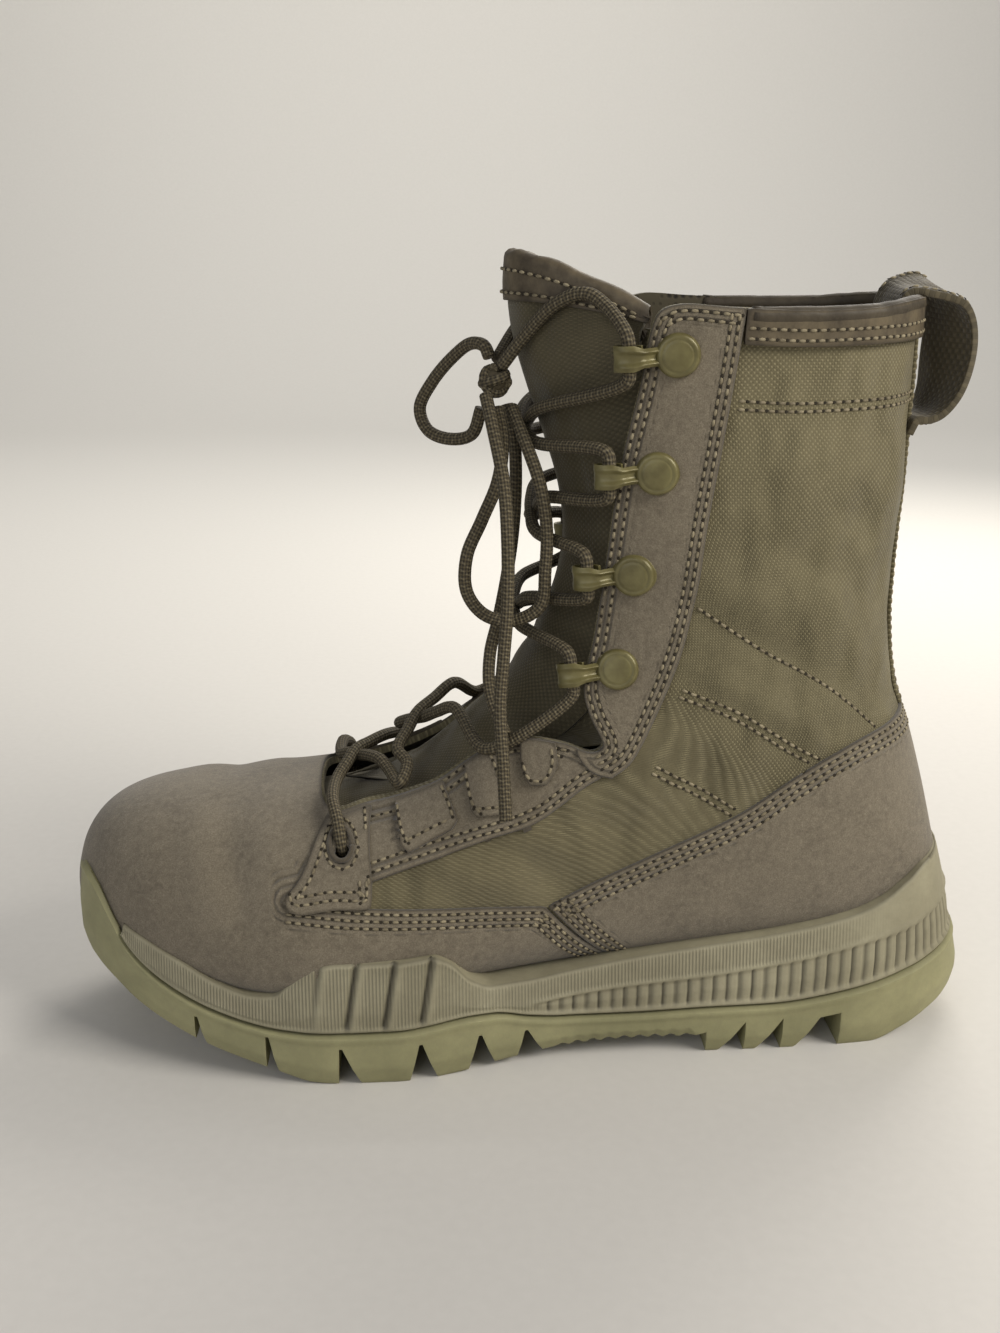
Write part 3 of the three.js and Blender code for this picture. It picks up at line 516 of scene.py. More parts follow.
core = bmesh.new()
bmesh.ops.create_uvsphere(core, u_segments=20, v_segments=14, radius=3.6 * MM)
bmesh.ops.translate(core, verts=core.verts[:], vec=Vector(KNOT * MM))
core.loops.layers.uv.new("mm")
PULLED_TIGHT = LACE * 0.82
wrap = tube(ring_route(KNOT, (0.8, 0.6, 0.1), (-0.2, 0.2, 1), 3.6, 1.3, 3.6), PULLED_TIGHT)[0]
sash = tube(ring_route(KNOT, (0.9, -0.4, 0.2), (0.35, 0.9, 0.1), 3.7, 1.1, 2.6), PULLED_TIGHT)[0]
piece("lace_knot", joined(core, wrap, sash), lace_braid, ["lace_knot"])

# %% [markdown]
# ## The last
# Every panel is cut to lie on the last, so the last comes first, as a table of sections. At the toe
# they stand upright, round the ankle they fan out, and up the shaft they lie level. Each ring
# is resampled by length, so that a grid laid on it has even cells. The main creases are worked
# into the last itself, so that suede, cloth and lining fold together as one.

# %% Sections of the last
UPPER = np.array([
    # frontX, frontZ, backX, backZ, lateral, medial, ridge, shoulder, frontPower, backPower
    (-257.2, 55.0, -257.0, 39.0, 0, 16, 8.0, 0.00, 2.0, 2.0),
    (-254.0, 64.5, -253.2, 33.0, -8.5, 23, 7.5, -0.10, 2.1, 2.3),
    (-248.5, 72.0, -246.5, 30.0, -17.5, 31, 7.0, -0.20, 2.1, 2.6),
    (-240.5, 77.3, -238.0, 28.2, -26, 38, 6.5, -0.26, 2.15, 2.8),
    (-229.0, 80.6, -226.0, 26.6, -34.5, 44.5, 6.0, -0.32, 2.2, 3.0),
    (-214.0, 82.2, -211.0, 25.2, -41.8, 50, 5.5, -0.36, 2.2, 3.2),
    (-198.0, 83.2, -194.0, 24.2, -47.8, 52.3, 5.0, -0.38, 2.2, 3.4),
    (-183.0, 84.6, -178.0, 23.6, -51.3, 52, 4.5, -0.38, 2.2, 3.4),
    (-169.5, 86.6, -162.0, 23.4, -51.5, 49.5, 4.0, -0.36, 2.25, 3.4),
    (-156.0, 90.0, -146.0, 23.8, -49.5, 45.5, 3.5, -0.32, 2.3, 3.4),
    (-144.0, 95.5, -130.0, 24.8, -46.5, 41, 3.0, -0.26, 2.35, 3.4),
    (-133.5, 103.0, -113.0, 26.2, -43.5, 37, 2.0, -0.20, 2.4, 3.4),
    (-124.0, 112.0, -93.0, 27.8, -41.3, 35.0, 1.5, -0.15, 2.45, 3.4),
    (-116.5, 121.5, -70.0, 29.4, -40.3, 34.5, 1.0, -0.08, 2.55, 3.4),
    (-110.5, 131.0, -44.0, 30.8, -39.8, 35, 0.5, -0.02, 2.7, 3.4),
    (-106.5, 140.5, -16.0, 32.0, -39.5, 35.5, 0, 0.03, 2.75, 3.3),
    (-104.0, 148.5, 12.0, 33.0, -39, 36, 0, 0.04, 2.75, 2.9),
    (-102.8, 155.5, 29.5, 37.0, -38.5, 36.3, 0, 0.06, 2.7, 2.5),
    (-102.4, 162.5, 36.0, 50.0, -38, 36.5, 0, 0.07, 2.65, 2.3),
    (-102.5, 169.5, 32.5, 64.0, -37.7, 36.5, 0, 0.07, 2.6, 2.25),
    (-103.1, 176.5, 28.0, 81.0, -37.5, 36.6, 0, 0.07, 2.5, 2.2),
    (-103.9, 183.0, 23.0, 97.5, -37.4, 36.7, 0, 0.06, 2.45, 2.2),
    (-104.9, 189.5, 18.2, 112.0, -37.4, 36.8, 0, 0.05, 2.4, 2.2),
    (-106.0, 196.0, 14.0, 125.0, -37.4, 36.9, 0, 0.04, 2.35, 2.2),
    (-107.3, 202.5, 12.3, 141.0, -37.5, 37, 0, 0.03, 2.3, 2.2),
    (-108.9, 209.5, 12.0, 160.0, -37.7, 37.2, 0, 0.02, 2.2, 2.2),
    (-110.7, 217.5, 12.6, 182.0, -38, 37.5, 0, 0.00, 2.2, 2.2),
    (-112.6, 227.0, 13.3, 205.0, -38.4, 37.8, 0, 0.00, 2.2, 2.2),
    (-114.4, 239.0, 13.5, 228.0, -38.8, 38.2, 0, 0.00, 2.2, 2.2),
    (-115.6, 254.0, 13.5, 252.0, -39, 38.4, 0, 0.00, 2.2, 2.2),
])
# %% Rings of the last
TOE_POLE = np.array([-258.4, 8, 47])
FINE = 12
AROUND = 360


def through_rows(rows, place):
    """Catmull-Rom between the rows of a table."""
    i = np.minimum(place.astype(int), len(rows) - 2)
    t = (place - i)[:, None]
    a, b, c, d = [rows[np.clip(i + k, 0, len(rows) - 1)] for k in (-1, 0, 1, 2)]
    return 0.5 * (2 * b + (c - a) * t + (2 * a - 5 * b + 4 * c - d) * t**2 + (3 * b - a - 3 * c + d) * t**3)


def last_rings(rows, around):
    """One ring of points for each row of the table, starting at the front point."""
    front_x, front_z, back_x, back_z, lateral, medial, ridge, shoulder, front_power, back_power = (
        column[:, None] for column in rows.T)
    wave, sway = np.cos(around * 2 * math.pi), np.sin(around * 2 * math.pi)
    power = np.where(wave >= 0, front_power, back_power)
    along = np.sign(wave) * np.abs(wave) ** (2 / power)
    across = np.abs(sway) ** (2 / power)
    reach = shoulder + along * np.where(along >= 0, 1 - shoulder, 1 + shoulder)
    share = (reach + 1) / 2
    side = np.where(sway >= 0, lateral, medial) - ridge
    return np.stack([
        back_x + (front_x - back_x) * share, ridge + side * across, back_z + (front_z - back_z) * share,
    ], axis=-1)


places = np.linspace(0, len(UPPER) - 1, (len(UPPER) - 1) * FINE + 1)
rings = last_rings(through_rows(UPPER, places), np.linspace(0, 1, 1441)[None, :])
even_rings = np.array([evenly(ring, AROUND + 1)[:-1] for ring in rings])
toe_rings = [even_rings[0] + (TOE_POLE - even_rings[0]) * share for share in (1.0, 0.75, 0.5, 0.25)]
LAST = np.concatenate([toe_rings, even_rings])
print("the last:", LAST.shape[0], "rings of", LAST.shape[1], "points")


# %% Creases, worked in one by one
# Each is a line in side view with its depth (above 0 is a ridge, below 0 a trough) and its width.
CREASES = [
    ([(-60, 150), (-38, 141), (-16, 128), (4, 112)], -1.1, 5.0),
    ([(-56, 163), (-34, 154), (-10, 140), (10, 122)], 1.3, 6.0),
    ([(-50, 176), (-30, 168), (-8, 156), (12, 142)], -0.9, 5.0),
    ([(-6, 126), (8, 118), (18, 112)], -2.0, 5.5),
    ([(-58, 132), (-40, 124), (-22, 113), (-8, 103)], 1.0, 4.5),
    ([(-46, 198), (-26, 192), (-4, 186), (12, 184)], 0.8, 7.0),
    ([(-44, 212), (-20, 206), (2, 204), (14, 206)], -0.7, 5.0),
    ([(-30, 225), (-14, 200), (-8, 176)], -0.6, 6.0),
    ([(-4, 222), (4, 196), (8, 170)], 0.8, 6.0),
    ([(-122, 80), (-110, 72), (-98, 62)], -1.0, 3.4),
    ([(-112, 84), (-98, 76), (-86, 68)], 0.9, 4.0),
    ([(-98, 88), (-86, 82), (-72, 80)], -0.9, 3.4),
    ([(-140, 74), (-126, 68), (-112, 62)], 0.6, 4.0),
    ([(-82, 92), (-70, 92), (-58, 100)], 0.8, 4.0),
    ([(-204, 80), (-199, 66), (-196, 52)], -0.9, 5.0),
    ([(-190, 80), (-186, 66), (-184, 54)], 0.5, 5.0),
    ([(-216, 80), (-212, 68), (-209, 56)], 0.4, 5.0),
    ([(-60, 238), (-30, 239.5), (0, 238)], 0.9, 5.0),
]


# %% How the creases lift the last
CREASE_DEPTH = 1.35


def distance_to_line(points, line):
    """Distance in side view from each point to a line, with the share of the way along it."""
    best = np.full(len(points), 1e9)
    share = np.zeros(len(points))
    reach = run_length(line)
    for start, end, done in zip(line, line[1:], reach):
        run = end - start
        t = np.clip(((points - start) @ run) / max(run @ run, 1e-9), 0, 1)
        away = np.linalg.norm(points - start - t[:, None] * run, axis=1)
        nearer = away < best
        best = np.where(nearer, away, best)
        share = np.where(nearer, (done + t * np.linalg.norm(run)) / reach[-1], share)
    return best, share


def crease_relief(points):
    """How far the creases lift each point; those of the medial side lie a little lower."""
    side_view = points[:, [0, 2]] + np.where(points[:, 1:2] > 0, [3.0, -4.0], [0.0, 0.0])
    lift = np.zeros(len(points))
    for route, depth, width in CREASES:
        away, share = distance_to_line(side_view, smooth_line(route, 4))
        fade = np.sin(math.pi * np.clip(share, 0.04, 0.96)) ** 0.5
        lift += CREASE_DEPTH * depth * np.exp(-(away / width) ** 2) * fade
    return lift


def ring_normals(grid):
    along = np.gradient(grid, axis=0)
    around = np.roll(grid, -1, axis=1) - np.roll(grid, 1, axis=1)
    return -unit(np.cross(along, around))


flat_normals = ring_normals(LAST)
flat_points = LAST.reshape(-1, 3)
centre_fade = np.clip((np.abs(flat_points[:, 1]) - 2) / 10, 0.25, 1)
LAST = LAST + flat_normals * (crease_relief(flat_points) * centre_fade).reshape(LAST.shape[:2])[..., None]
NORMALS = ring_normals(LAST)
steps_round = np.linalg.norm(np.roll(LAST, -1, axis=1) - LAST, axis=2)
steps_along = np.linalg.norm(np.diff(LAST, axis=0), axis=2)
CLOTH_U = np.cumsum(steps_round, axis=1) - np.cumsum(steps_round, axis=1)[:, AROUND // 2][:, None]
CLOTH_V = np.vstack([np.zeros(AROUND), np.cumsum(steps_along, axis=0)])
CLOTH_V = CLOTH_V - CLOTH_V[-1]
ROW_REACH = np.concatenate([[0], np.cumsum(steps_along.mean(axis=1))])
print("creases:", len(CREASES))


# %% Any spot on the last
def from_table(grid, row, column):
    """Reads a table between its rows and columns; columns go on round."""
    row = np.clip(row, 0, len(grid) - 1.001)
    i, j = np.floor(row).astype(int), np.floor(column).astype(int)
    s, t = row - i, column - j
    if grid.ndim == 3:
        s, t = s[:, None], t[:, None]
    j0, j1 = j % AROUND, (j + 1) % AROUND
    low = grid[i, j0] * (1 - t) + grid[i, j1] * t
    high = grid[i + 1, j0] * (1 - t) + grid[i + 1, j1] * t
    return low * (1 - s) + high * s


def on_last(row, column, lift=0.0):
    lift = np.broadcast_to(lift, len(row))[:, None]
    return from_table(LAST, row, column) + from_table(NORMALS, row, column) * lift


HALF_COLUMNS = {LATERAL: np.arange(0, AROUND // 2 + 1), MEDIAL: np.arange(AROUND // 2, AROUND + 1)}
SIDE_TREES = {}
for side, columns in HALF_COLUMNS.items():
    tree = KDTree((len(LAST) - 4) * len(columns))
    for i in range(4, len(LAST)):
        for j in columns:
            x, _, z = LAST[i, j % AROUND]
            tree.insert((x, z, 0), i * 1000 + int(j))
    tree.balance()
    SIDE_TREES[side] = tree


def seat(side_view, side):
    """The row and column of the last whose side view is nearest to each (x, z)."""
    tree = SIDE_TREES[side]
    found = np.array([tree.find((x, z, 0))[1] for x, z in side_view])
    row, column = (found // 1000).astype(float), (found % 1000).astype(float)
    small = 0.25

    def seen(row, column):
        return on_last(row, column)[:, [0, 2]]

    for _ in range(4):
        miss = side_view - seen(row, column)
        by_row = (seen(row + small, column) - seen(row - small, column)) / (2 * small)
        by_col = (seen(row, column + small) - seen(row, column - small)) / (2 * small)
        area = by_row[:, 0] * by_col[:, 1] - by_row[:, 1] * by_col[:, 0]
        area = np.where(np.abs(area) < 0.02, np.copysign(0.02, area), area)
        row = row + np.clip((miss[:, 0] * by_col[:, 1] - miss[:, 1] * by_col[:, 0]) / area, -1, 1)
        column = column + np.clip((by_row[:, 0] * miss[:, 1] - by_row[:, 1] * miss[:, 0]) / area, -1, 1)
    return row, column

# %% [markdown]
# ## Cutting panels
# A cutter lays a die on the hide and gets a clean outline. Here the die is a closed line in side
# view, and the hide is a grid on the last. A boolean would leave ragged slivers, so the grid's
# vertices near the line are pulled onto it instead, and the cells outside are thrown away.

# %% Distance to a die line
def die(*lines):
    """A closed outline in side view from smooth stretches, each a list of (x, z)."""
    return np.vstack([smooth_line(line, 2.0) if len(line) > 2 else np.array(line, float) for line in lines])


def inside_of(outline):
    """A region: below 0 inside the outline, above 0 outside, in millimetres."""
    starts, ends = outline, np.roll(outline, -1, axis=0)

    def region(points):
        xz = points[:, [0, 2]]
        best = np.full(len(xz), 1e9)
        odd = np.zeros(len(xz), bool)
        for start, end in zip(starts, ends):
            run = end - start
            t = np.clip(((xz - start) @ run) / max(run @ run, 1e-9), 0, 1)
            best = np.minimum(best, np.hypot(*(xz - start - t[:, None] * run).T))
            crosses = (start[1] > xz[:, 1]) != (end[1] > xz[:, 1])
            if run[1]:
                odd ^= crosses & (xz[:, 0] < start[0] + (xz[:, 1] - start[1]) / run[1] * run[0])
        return np.where(odd, -best, best)
    return region


def both(*regions):
    return lambda points: np.max([region(points) for region in regions], axis=0)


def outside_of(region):
    return lambda points: -region(points)


# %% The throat, which is the opening in front
THROAT = [
    (-177, 94), (-173.5, 85.2), (-169, 83.2), (-159, 85.6), (-148, 88.8), (-136, 94), (-126, 101),
    (-117, 107), (-107, 110), (-96, 109), (-88, 106.6), (-84.6, 108.5), (-88.6, 118), (-90.5, 126),
    (-87.2, 142), (-84, 166), (-81, 193), (-76, 218), (-73.4, 234), (-71.2, 238.6), (-66, 240.5),
    (-50, 239.6), (-30, 238.8), (-8, 239.2), (8, 241), (40, 242),
]
throat = inside_of(np.vstack([smooth_line(THROAT, 2.0), [(40, 290), (-190, 290)]]))
body = outside_of(throat)

# %% The panel cutter
# A vertex within so many cells of the line is looked at, and pulled if it is nearer than the second.
NEAR_CELLS, SNAP_CELLS = 2.2, 0.56
TOE_CAP_X, EYELET_X, EYELET_Z = -187, -158, 72


def cut_grid(region, lift, first, last, left, right, cell, sewn_reach):
    """A bmesh of the last between two rows and two columns, trimmed to the region."""
    reach = np.interp([first, last], np.arange(len(ROW_REACH)), ROW_REACH)
    width = np.mean([steps_round[int(row)].sum() for row in (first, (first + last) / 2, last)]) / AROUND
    rows = max(2, round((reach[1] - reach[0]) / cell))
    columns = max(2, round((right - left) * width / cell))
    made, across, along = new_grid(columns, rows)
    step = np.array([(reach[1] - reach[0]) / rows, (right - left) / columns])
    spots = np.column_stack([reach[0] + along * (reach[1] - reach[0]), left + across * (right - left)])

    def at(some):
        return on_last(np.interp(some[:, 0], ROW_REACH, np.arange(len(ROW_REACH))), some[:, 1], lift)

    distance = region(at(spots))
    near = np.flatnonzero(np.abs(distance) < NEAR_CELLS * cell)
    snapped = np.zeros(len(spots), bool)
    for turn in range(3):
        some = spots[near]
        slope = np.column_stack([
            (region(at(some + shift * step)) - region(at(some - shift * step))) / 0.5
            for shift in np.eye(2) / 4])
        steep = np.maximum((slope ** 2).sum(axis=1), 1e-6)
        move = -region(at(some))[:, None] * slope / steep[:, None]
        if turn == 0:
            close = np.abs(move).max(axis=1) < SNAP_CELLS
            near, move = near[close], move[close]
            snapped[near] = True
        spots[near] += np.clip(move, -0.6, 0.6) * step
    points = at(spots)
    state = np.where(snapped, 0, np.sign(region(points)))
    middle = {}
    row = np.interp(spots[:, 0], ROW_REACH, np.arange(len(ROW_REACH)))
    uv = np.column_stack([from_table(CLOTH_U, row, spots[:, 1]), from_table(CLOTH_V, row, spots[:, 1])])
    rim = np.clip(-region(points), 0, 20)
    x, z = points[:, 0], points[:, 2]
    bare_toe = (x < TOE_CAP_X) | ((x < EYELET_X) & (z > EYELET_Z))  # no rows are sewn there
    lay(made, points, uv, rim=rim, sewn=((rim < sewn_reach) & ~bare_toe).astype(float))
    made.verts.index_update()
    doomed = []
    for face in made.faces[:]:
        marks = [state[vertex.index] for vertex in face.verts]
        if max(marks) > 0:
            if min(marks) >= 0:
                doomed.append(face)
            else:
                rims = [vertex for vertex in face.verts if state[vertex.index] == 0]
                if len(rims) == 2:
                    new_face, _ = bmesh.utils.face_split(face, rims[0], rims[1])
                    doomed += [f for f in (face, new_face) if any(state[v.index] > 0 for v in f.verts)]
                else:
                    doomed.append(face)
        elif min(marks) == 0 and max(marks) == 0:
            middle[face] = points[[vertex.index for vertex in face.verts]].mean(axis=0)
    if middle:
        outside = region(np.array(list(middle.values()))) > 0
        doomed += [face for face, out in zip(middle, outside) if out]
    bmesh.ops.delete(made, geom=list(dict.fromkeys(doomed)), context="FACES")
    return made


# %% A panel, or a mirrored pair
def panel(name, region, material, lift, wall, span="sides", cell=1.7, edge=0.3, sewn=0.0,
          replaced=()):
    """A panel on the last. span is sides for a mirrored pair, front or back for one piece round it."""
    spans = {"sides": [(0, AROUND / 2), (AROUND / 2, AROUND)], "front": [(-AROUND / 2, AROUND / 2)],
             "back": [(0, AROUND)]}[span]
    within = (region(LAST.reshape(-1, 3)) < 1.5).reshape(LAST.shape[:2])
    parts = []
    for left, right in spans:
        columns = np.arange(left, right + 1).astype(int)
        used = within[:, columns % AROUND]
        rows_used, columns_used = np.flatnonzero(used.any(axis=1)), np.flatnonzero(used.any(axis=0))
        first, last = max(rows_used[0] - 1, 0), min(rows_used[-1] + 1, len(LAST) - 1)
        low = max(left, left + columns_used[0] - 1)
        high = min(right, left + columns_used[-1] + 1)
        parts.append(cut_grid(region, lift, first, last, low, high, cell, sewn))
    return piece(name, joined(*parts), material, replaced, wall, edge, turn_out=False)


# %% [markdown]
# ## Suede and nylon
# The quarter is one nylon shell with a knitted lining, over it lie the suede vamp, the heel
# counter, the facing and the tall eyestay. Each is lifted by the thickness of what is under it,
# so the edges stand proud by a real millimetre or two and cast their own small shadows.

# %% Die lines, in side view
EYESTAY_BACK = [
    (-46.8, 244), (-48.4, 227.6), (-51.7, 202), (-54.9, 178.8), (-57.8, 154.5), (-61.8, 136),
    (-68.9, 117.3), (-76.4, 103.1), (-82, 98.6),
]
FACING_FOOT = [(-76.4, 103.1), (-88.7, 96.5), (-104, 85), (-132, 75.4), (-156.3, 67.8)]
CORNER = [
    (-156.3, 67.8), (-156.5, 61.8), (-157.0, 61.0), (-168, 60.8), (-179.2, 59.4), (-181.8, 60.4),
    (-182.9, 63.4), (-178.4, 69), (-172.5, 80.5), (-169, 84.5),
]
STRIP_TOP = [(-182.9, 62.6), (-160, 60.4), (-132, 58), (-101.6, 55.7)]
VAMP_BACK = [(-101.6, 55.2), (-92.7, 45.2), (-80.5, 33), (-76, 26)]
VAMP_FRONT = [(-164, 92), (-168, 80), (-172, 70), (-176, 64)]
COUNTER_TOP = [
    (-101, 56), (-85.2, 64.2), (-66.2, 73.1), (-41.1, 85.3), (-22.4, 97.6), (-6, 105.8),
    (11.2, 110), (24, 111), (60, 111),
]
COUNTER_FRONT = [(-80.2, 33), (-91.8, 45.4), (-101, 56)]
UNDER_FOOT = [(-76, 26), (-120, 23.5), (-190, 23.5), (-232, 27), (-262, 42), (-280, 60)]
UNDER_HEEL = [(60, 30), (20, 27), (-40, 27), (-76, 26)]

# %% The shell and the big suede panels
# How far each layer stands off the last, and how wide the bands with three or two rows are.
LIFT = {"vamp": 1.1, "facing": 1.3, "eyestay": 1.9, "collar": 2.2, "corner": 2.6, "keeper": 2.7}
TRIPLE_BAND, DOUBLE_BAND = 7.4, 5.2
EYELET = np.array([-165.6, 75.3])
EYELET_RADIUS = 2.5


def eyelet_hole(points):
    return EYELET_RADIUS - np.hypot(points[:, 0] - EYELET[0], points[:, 2] - EYELET[1])


panel("quarter_shell", both(body, eyelet_hole), [nylon_cordura, lining_mesh], 0.0, 2.4,
      "back", 2.3, edge=0.5, replaced=["upper"])
vamp_die = die(VAMP_FRONT, STRIP_TOP, VAMP_BACK, UNDER_FOOT, [(-280, 110), (-164, 110)])
vamp_region = both(inside_of(vamp_die), body, eyelet_hole)
panel("vamp", vamp_region, suede_leather, LIFT["vamp"], 1.3, "front", 1.8, sewn=TRIPLE_BAND)
counter_die = die(COUNTER_TOP, UNDER_HEEL, [(-76, 26), (-80.2, 33)], COUNTER_FRONT)
counter_region = both(inside_of(counter_die), body)
panel("heel_counter", counter_region, suede_leather, LIFT["vamp"], 1.3, "back", 1.8,
      sewn=TRIPLE_BAND)

# %% Facing, eyestay, corner and keepers
facing_die = die(FACING_FOOT, CORNER, [(-169, 84.5), (-190, 130), (-80, 130)])
facing_region = both(inside_of(facing_die), body, eyelet_hole)
panel("facing", facing_region, suede_leather, LIFT["facing"], 1.5, cell=1.5, sewn=DOUBLE_BAND)
eyestay_foot = [(-82, 98.6), (-88, 100.5), (-92.5, 106), (-94, 116)]
eyestay_region = both(inside_of(die(EYESTAY_BACK, eyestay_foot, [(-120, 130), (-120, 244)])), body)
panel("eyestay", eyestay_region, suede_leather, LIFT["eyestay"], 2.0, cell=1.5, sewn=DOUBLE_BAND)
corner_die = die(CORNER, [(-169, 84.5), (-166, 96), (-156, 96), (-157.4, 82), (-156.3, 67.8)])
corner_region = both(inside_of(corner_die), body, eyelet_hole)
panel("facing_corner", corner_region, suede_leather, LIFT["corner"], 1.4, cell=1.2)
KEEPERS = {
    "keeper_low": [
        (-151, 96), (-136.4, 100), (-129.6, 85.4), (-131.4, 82.8), (-144.8, 76.2), (-147, 77.8)],
    "keeper_high": [
        (-128, 107), (-118.4, 109), (-113, 89.6), (-115, 87.4), (-123.6, 86.2), (-125.6, 88.4)],
    "keeper_flap": [
        (-110.4, 116), (-100, 116), (-98.5, 102.6), (-101.8, 96.6), (-107.4, 96.4), (-109.8, 101.6)],
}
for name, corners in KEEPERS.items():
    region = both(inside_of(np.array(corners, float)), body)
    panel(name, region, suede_leather, LIFT["keeper"], 1.4, cell=1.1)


# %% Collar and backstay
BACKSTAY_HALF, BACKSTAY_LIFT = 7.5, 1.2
heel_heights = LAST[:, AROUND // 2, 2]


def on_backstay(height, y, lift):
    """Spots y millimetres beside the middle of the heel, at a height, and their normals."""
    row = np.interp(height, heel_heights, np.arange(len(LAST)))
    columns = np.linspace(AROUND / 2 - 40, AROUND / 2 + 40, 161)
    found = []
    for r, target in zip(row, y):
        across_heel = from_table(LAST, np.full(len(columns), r), columns)[:, 1]
        order = np.argsort(across_heel)
        found.append(np.interp(target, across_heel[order], columns[order]))
    found = np.array(found)
    return on_last(row, found, lift), from_table(NORMALS, row, found)


made, across, along = new_grid(10, 80)
heights = 107 + along * 130
sideways = (2 * across - 1) * BACKSTAY_HALF
lay(made, on_backstay(heights, sideways, BACKSTAY_LIFT)[0], np.column_stack([sideways, heights]))
piece("backstay", made, nylon_cordura, wall=1.2, edge=0.3)
collar_foot = [(-47.2, 229.4), (-30, 228.6), (-8, 228.8), (14, 229.6), (60, 230)]
collar_region = both(inside_of(die(collar_foot, [(60, 270), (-46.4, 270)])), body)
panel("collar_band", collar_region, collar_leather, LIFT["collar"], 2.2, "back", edge=0.9)

# %% The padded roll along the collar's top, as far as the eyestay
ROLL, ROLL_BELOW_RIM, EYESTAY_X = 5.4, 2.3, -46.6
collar_rim = np.array(THROAT[-5:])
roll_rows, roll_columns = [], []
top_rows = np.arange(len(LAST) - 90, len(LAST) - 1.5, 0.5)
for column in np.arange(0, AROUND, 2):
    spots = from_table(LAST, top_rows, np.full(len(top_rows), column))
    rim_height = np.interp(spots[:, 0], collar_rim[:, 0], collar_rim[:, 1])
    over = np.flatnonzero(spots[:, 2] > rim_height - ROLL_BELOW_RIM)
    if len(over) and spots[over[0], 0] > EYESTAY_X:
        roll_rows.append(top_rows[over[0]])
        roll_columns.append(column)
roll_rows = np.convolve(np.pad(roll_rows, 3, "edge"), np.full(7, 1 / 7), "valid")
made = tube(on_last(roll_rows, np.array(roll_columns, float), -0.2), ROLL, 1.5)[0]
piece("collar_roll", made, collar_leather)


# %% [markdown]
# ## Stitching
# A lockstitch shows as short grains of thread, three millimetres apart, sunk a little in the
# leather. Thousands of objects would be slow, so one grain is modelled, and an array of
# placed copies becomes one mesh for each seam family.

# %% One stitch, many times
STITCH_PITCH = 3.0
STITCH_SIZE, HOLE_SIZE = (1.12, 0.52, 0.42), (0.56, 0.56, 0.14)
THREAD_LIFT = 0.05
grain = bmesh.new()
bmesh.ops.create_uvsphere(grain, u_segments=7, v_segments=5, radius=1.0)
bmesh.ops.scale(grain, verts=grain.verts[:], vec=STITCH_SIZE)
grain_mesh = mesh_of("stitch_grain", grain)
GRAIN_POINTS = np.array([vertex.co[:] for vertex in grain_mesh.vertices])
GRAIN_FACES = [tuple(face.vertices) for face in grain_mesh.polygons]


def moved_over(line, by):
    """A line in side view moved by millimetres to its right hand."""
    run = unit(np.gradient(line, axis=0))
    return line + by * np.column_stack([run[:, 1], -run[:, 0]])


# %% Sewing
def sew(name, places, ahead, out, slot="suede"):
    """Joins one grain at each place, along ahead, and after it a dark disc of painted shade for the needle
    hole.
    """
    places, ahead, out = np.vstack(places), np.vstack(ahead), np.vstack(out)
    ahead = unit(ahead - out * (ahead * out).sum(axis=1, keepdims=True))
    beside = np.cross(out, ahead)
    axes = np.stack([ahead, beside, out], axis=1)
    stitches = places[:, None, :] + np.einsum("gk,nkj->ngj", GRAIN_POINTS, axes)
    # Each needle hole is a flat dark disc: painted shade.
    hole_places = places + ahead * STITCH_PITCH / 2
    hole_points = GRAIN_POINTS / STITCH_SIZE * HOLE_SIZE
    holes = hole_places[:, None, :] + np.einsum("gk,nkj->ngj", hole_points, axes)
    points = np.concatenate([stitches, holes])
    starts = np.arange(len(points)) * len(GRAIN_POINTS)
    faces = [tuple(start + k for k in face) for start in starts.tolist() for face in GRAIN_FACES]
    mesh = bpy.data.meshes.new(name)
    mesh.from_pydata((points.reshape(-1, 3) * MM).tolist(), [], faces)
    made = bmesh.new()
    made.from_mesh(mesh)
    bpy.data.meshes.remove(mesh)
    made.loops.layers.uv.new("mm")
    made.faces.ensure_lookup_table()
    for face in made.faces[len(places) * len(GRAIN_FACES):]:
        face.material_index = 1
    piece(name, made, [thread_tan, needle_hole_shade], turn_out=False, weld=None)
    print(f"  {len(places)} stitches")


def seam_spots(line, side, lift):
    """Places, directions and normals of stitches along a side-view line on one side."""
    fine = evenly(line, max(3, int(run_length(line)[-1] / 0.8)))
    row, column = seat(fine, side)
    surface = on_last(row, column, lift)
    reach = run_length(surface)
    at = np.arange(STITCH_PITCH / 2, reach[-1], STITCH_PITCH)
    row_at, column_at = np.interp(at, reach, row), np.interp(at, reach, column)
    places = on_last(row_at, column_at, lift)
    if len(places) > 2:
        ahead = np.gradient(places, axis=0)
    else:
        ahead = np.tile(surface[-1] - surface[0], (len(places), 1))
    return places, ahead, from_table(NORMALS, row_at, column_at)


def seams(name, rows, slot="suede"):
    """rows are (side-view line, offsets, panel's lift, region to stay inside); both sides are sewn."""
    found = []
    for line, offsets, lift, keep in rows:
        for offset in offsets:
            for side in (LATERAL, MEDIAL):
                moved = moved_over(smooth_line(line, 1.0), offset)
                spots = seam_spots(moved, side, lift + THREAD_LIFT)
                inside = keep(spots[0]) < -0.9
                found.append([part[inside] for part in spots])
    sew(name, *zip(*found), slot=slot)


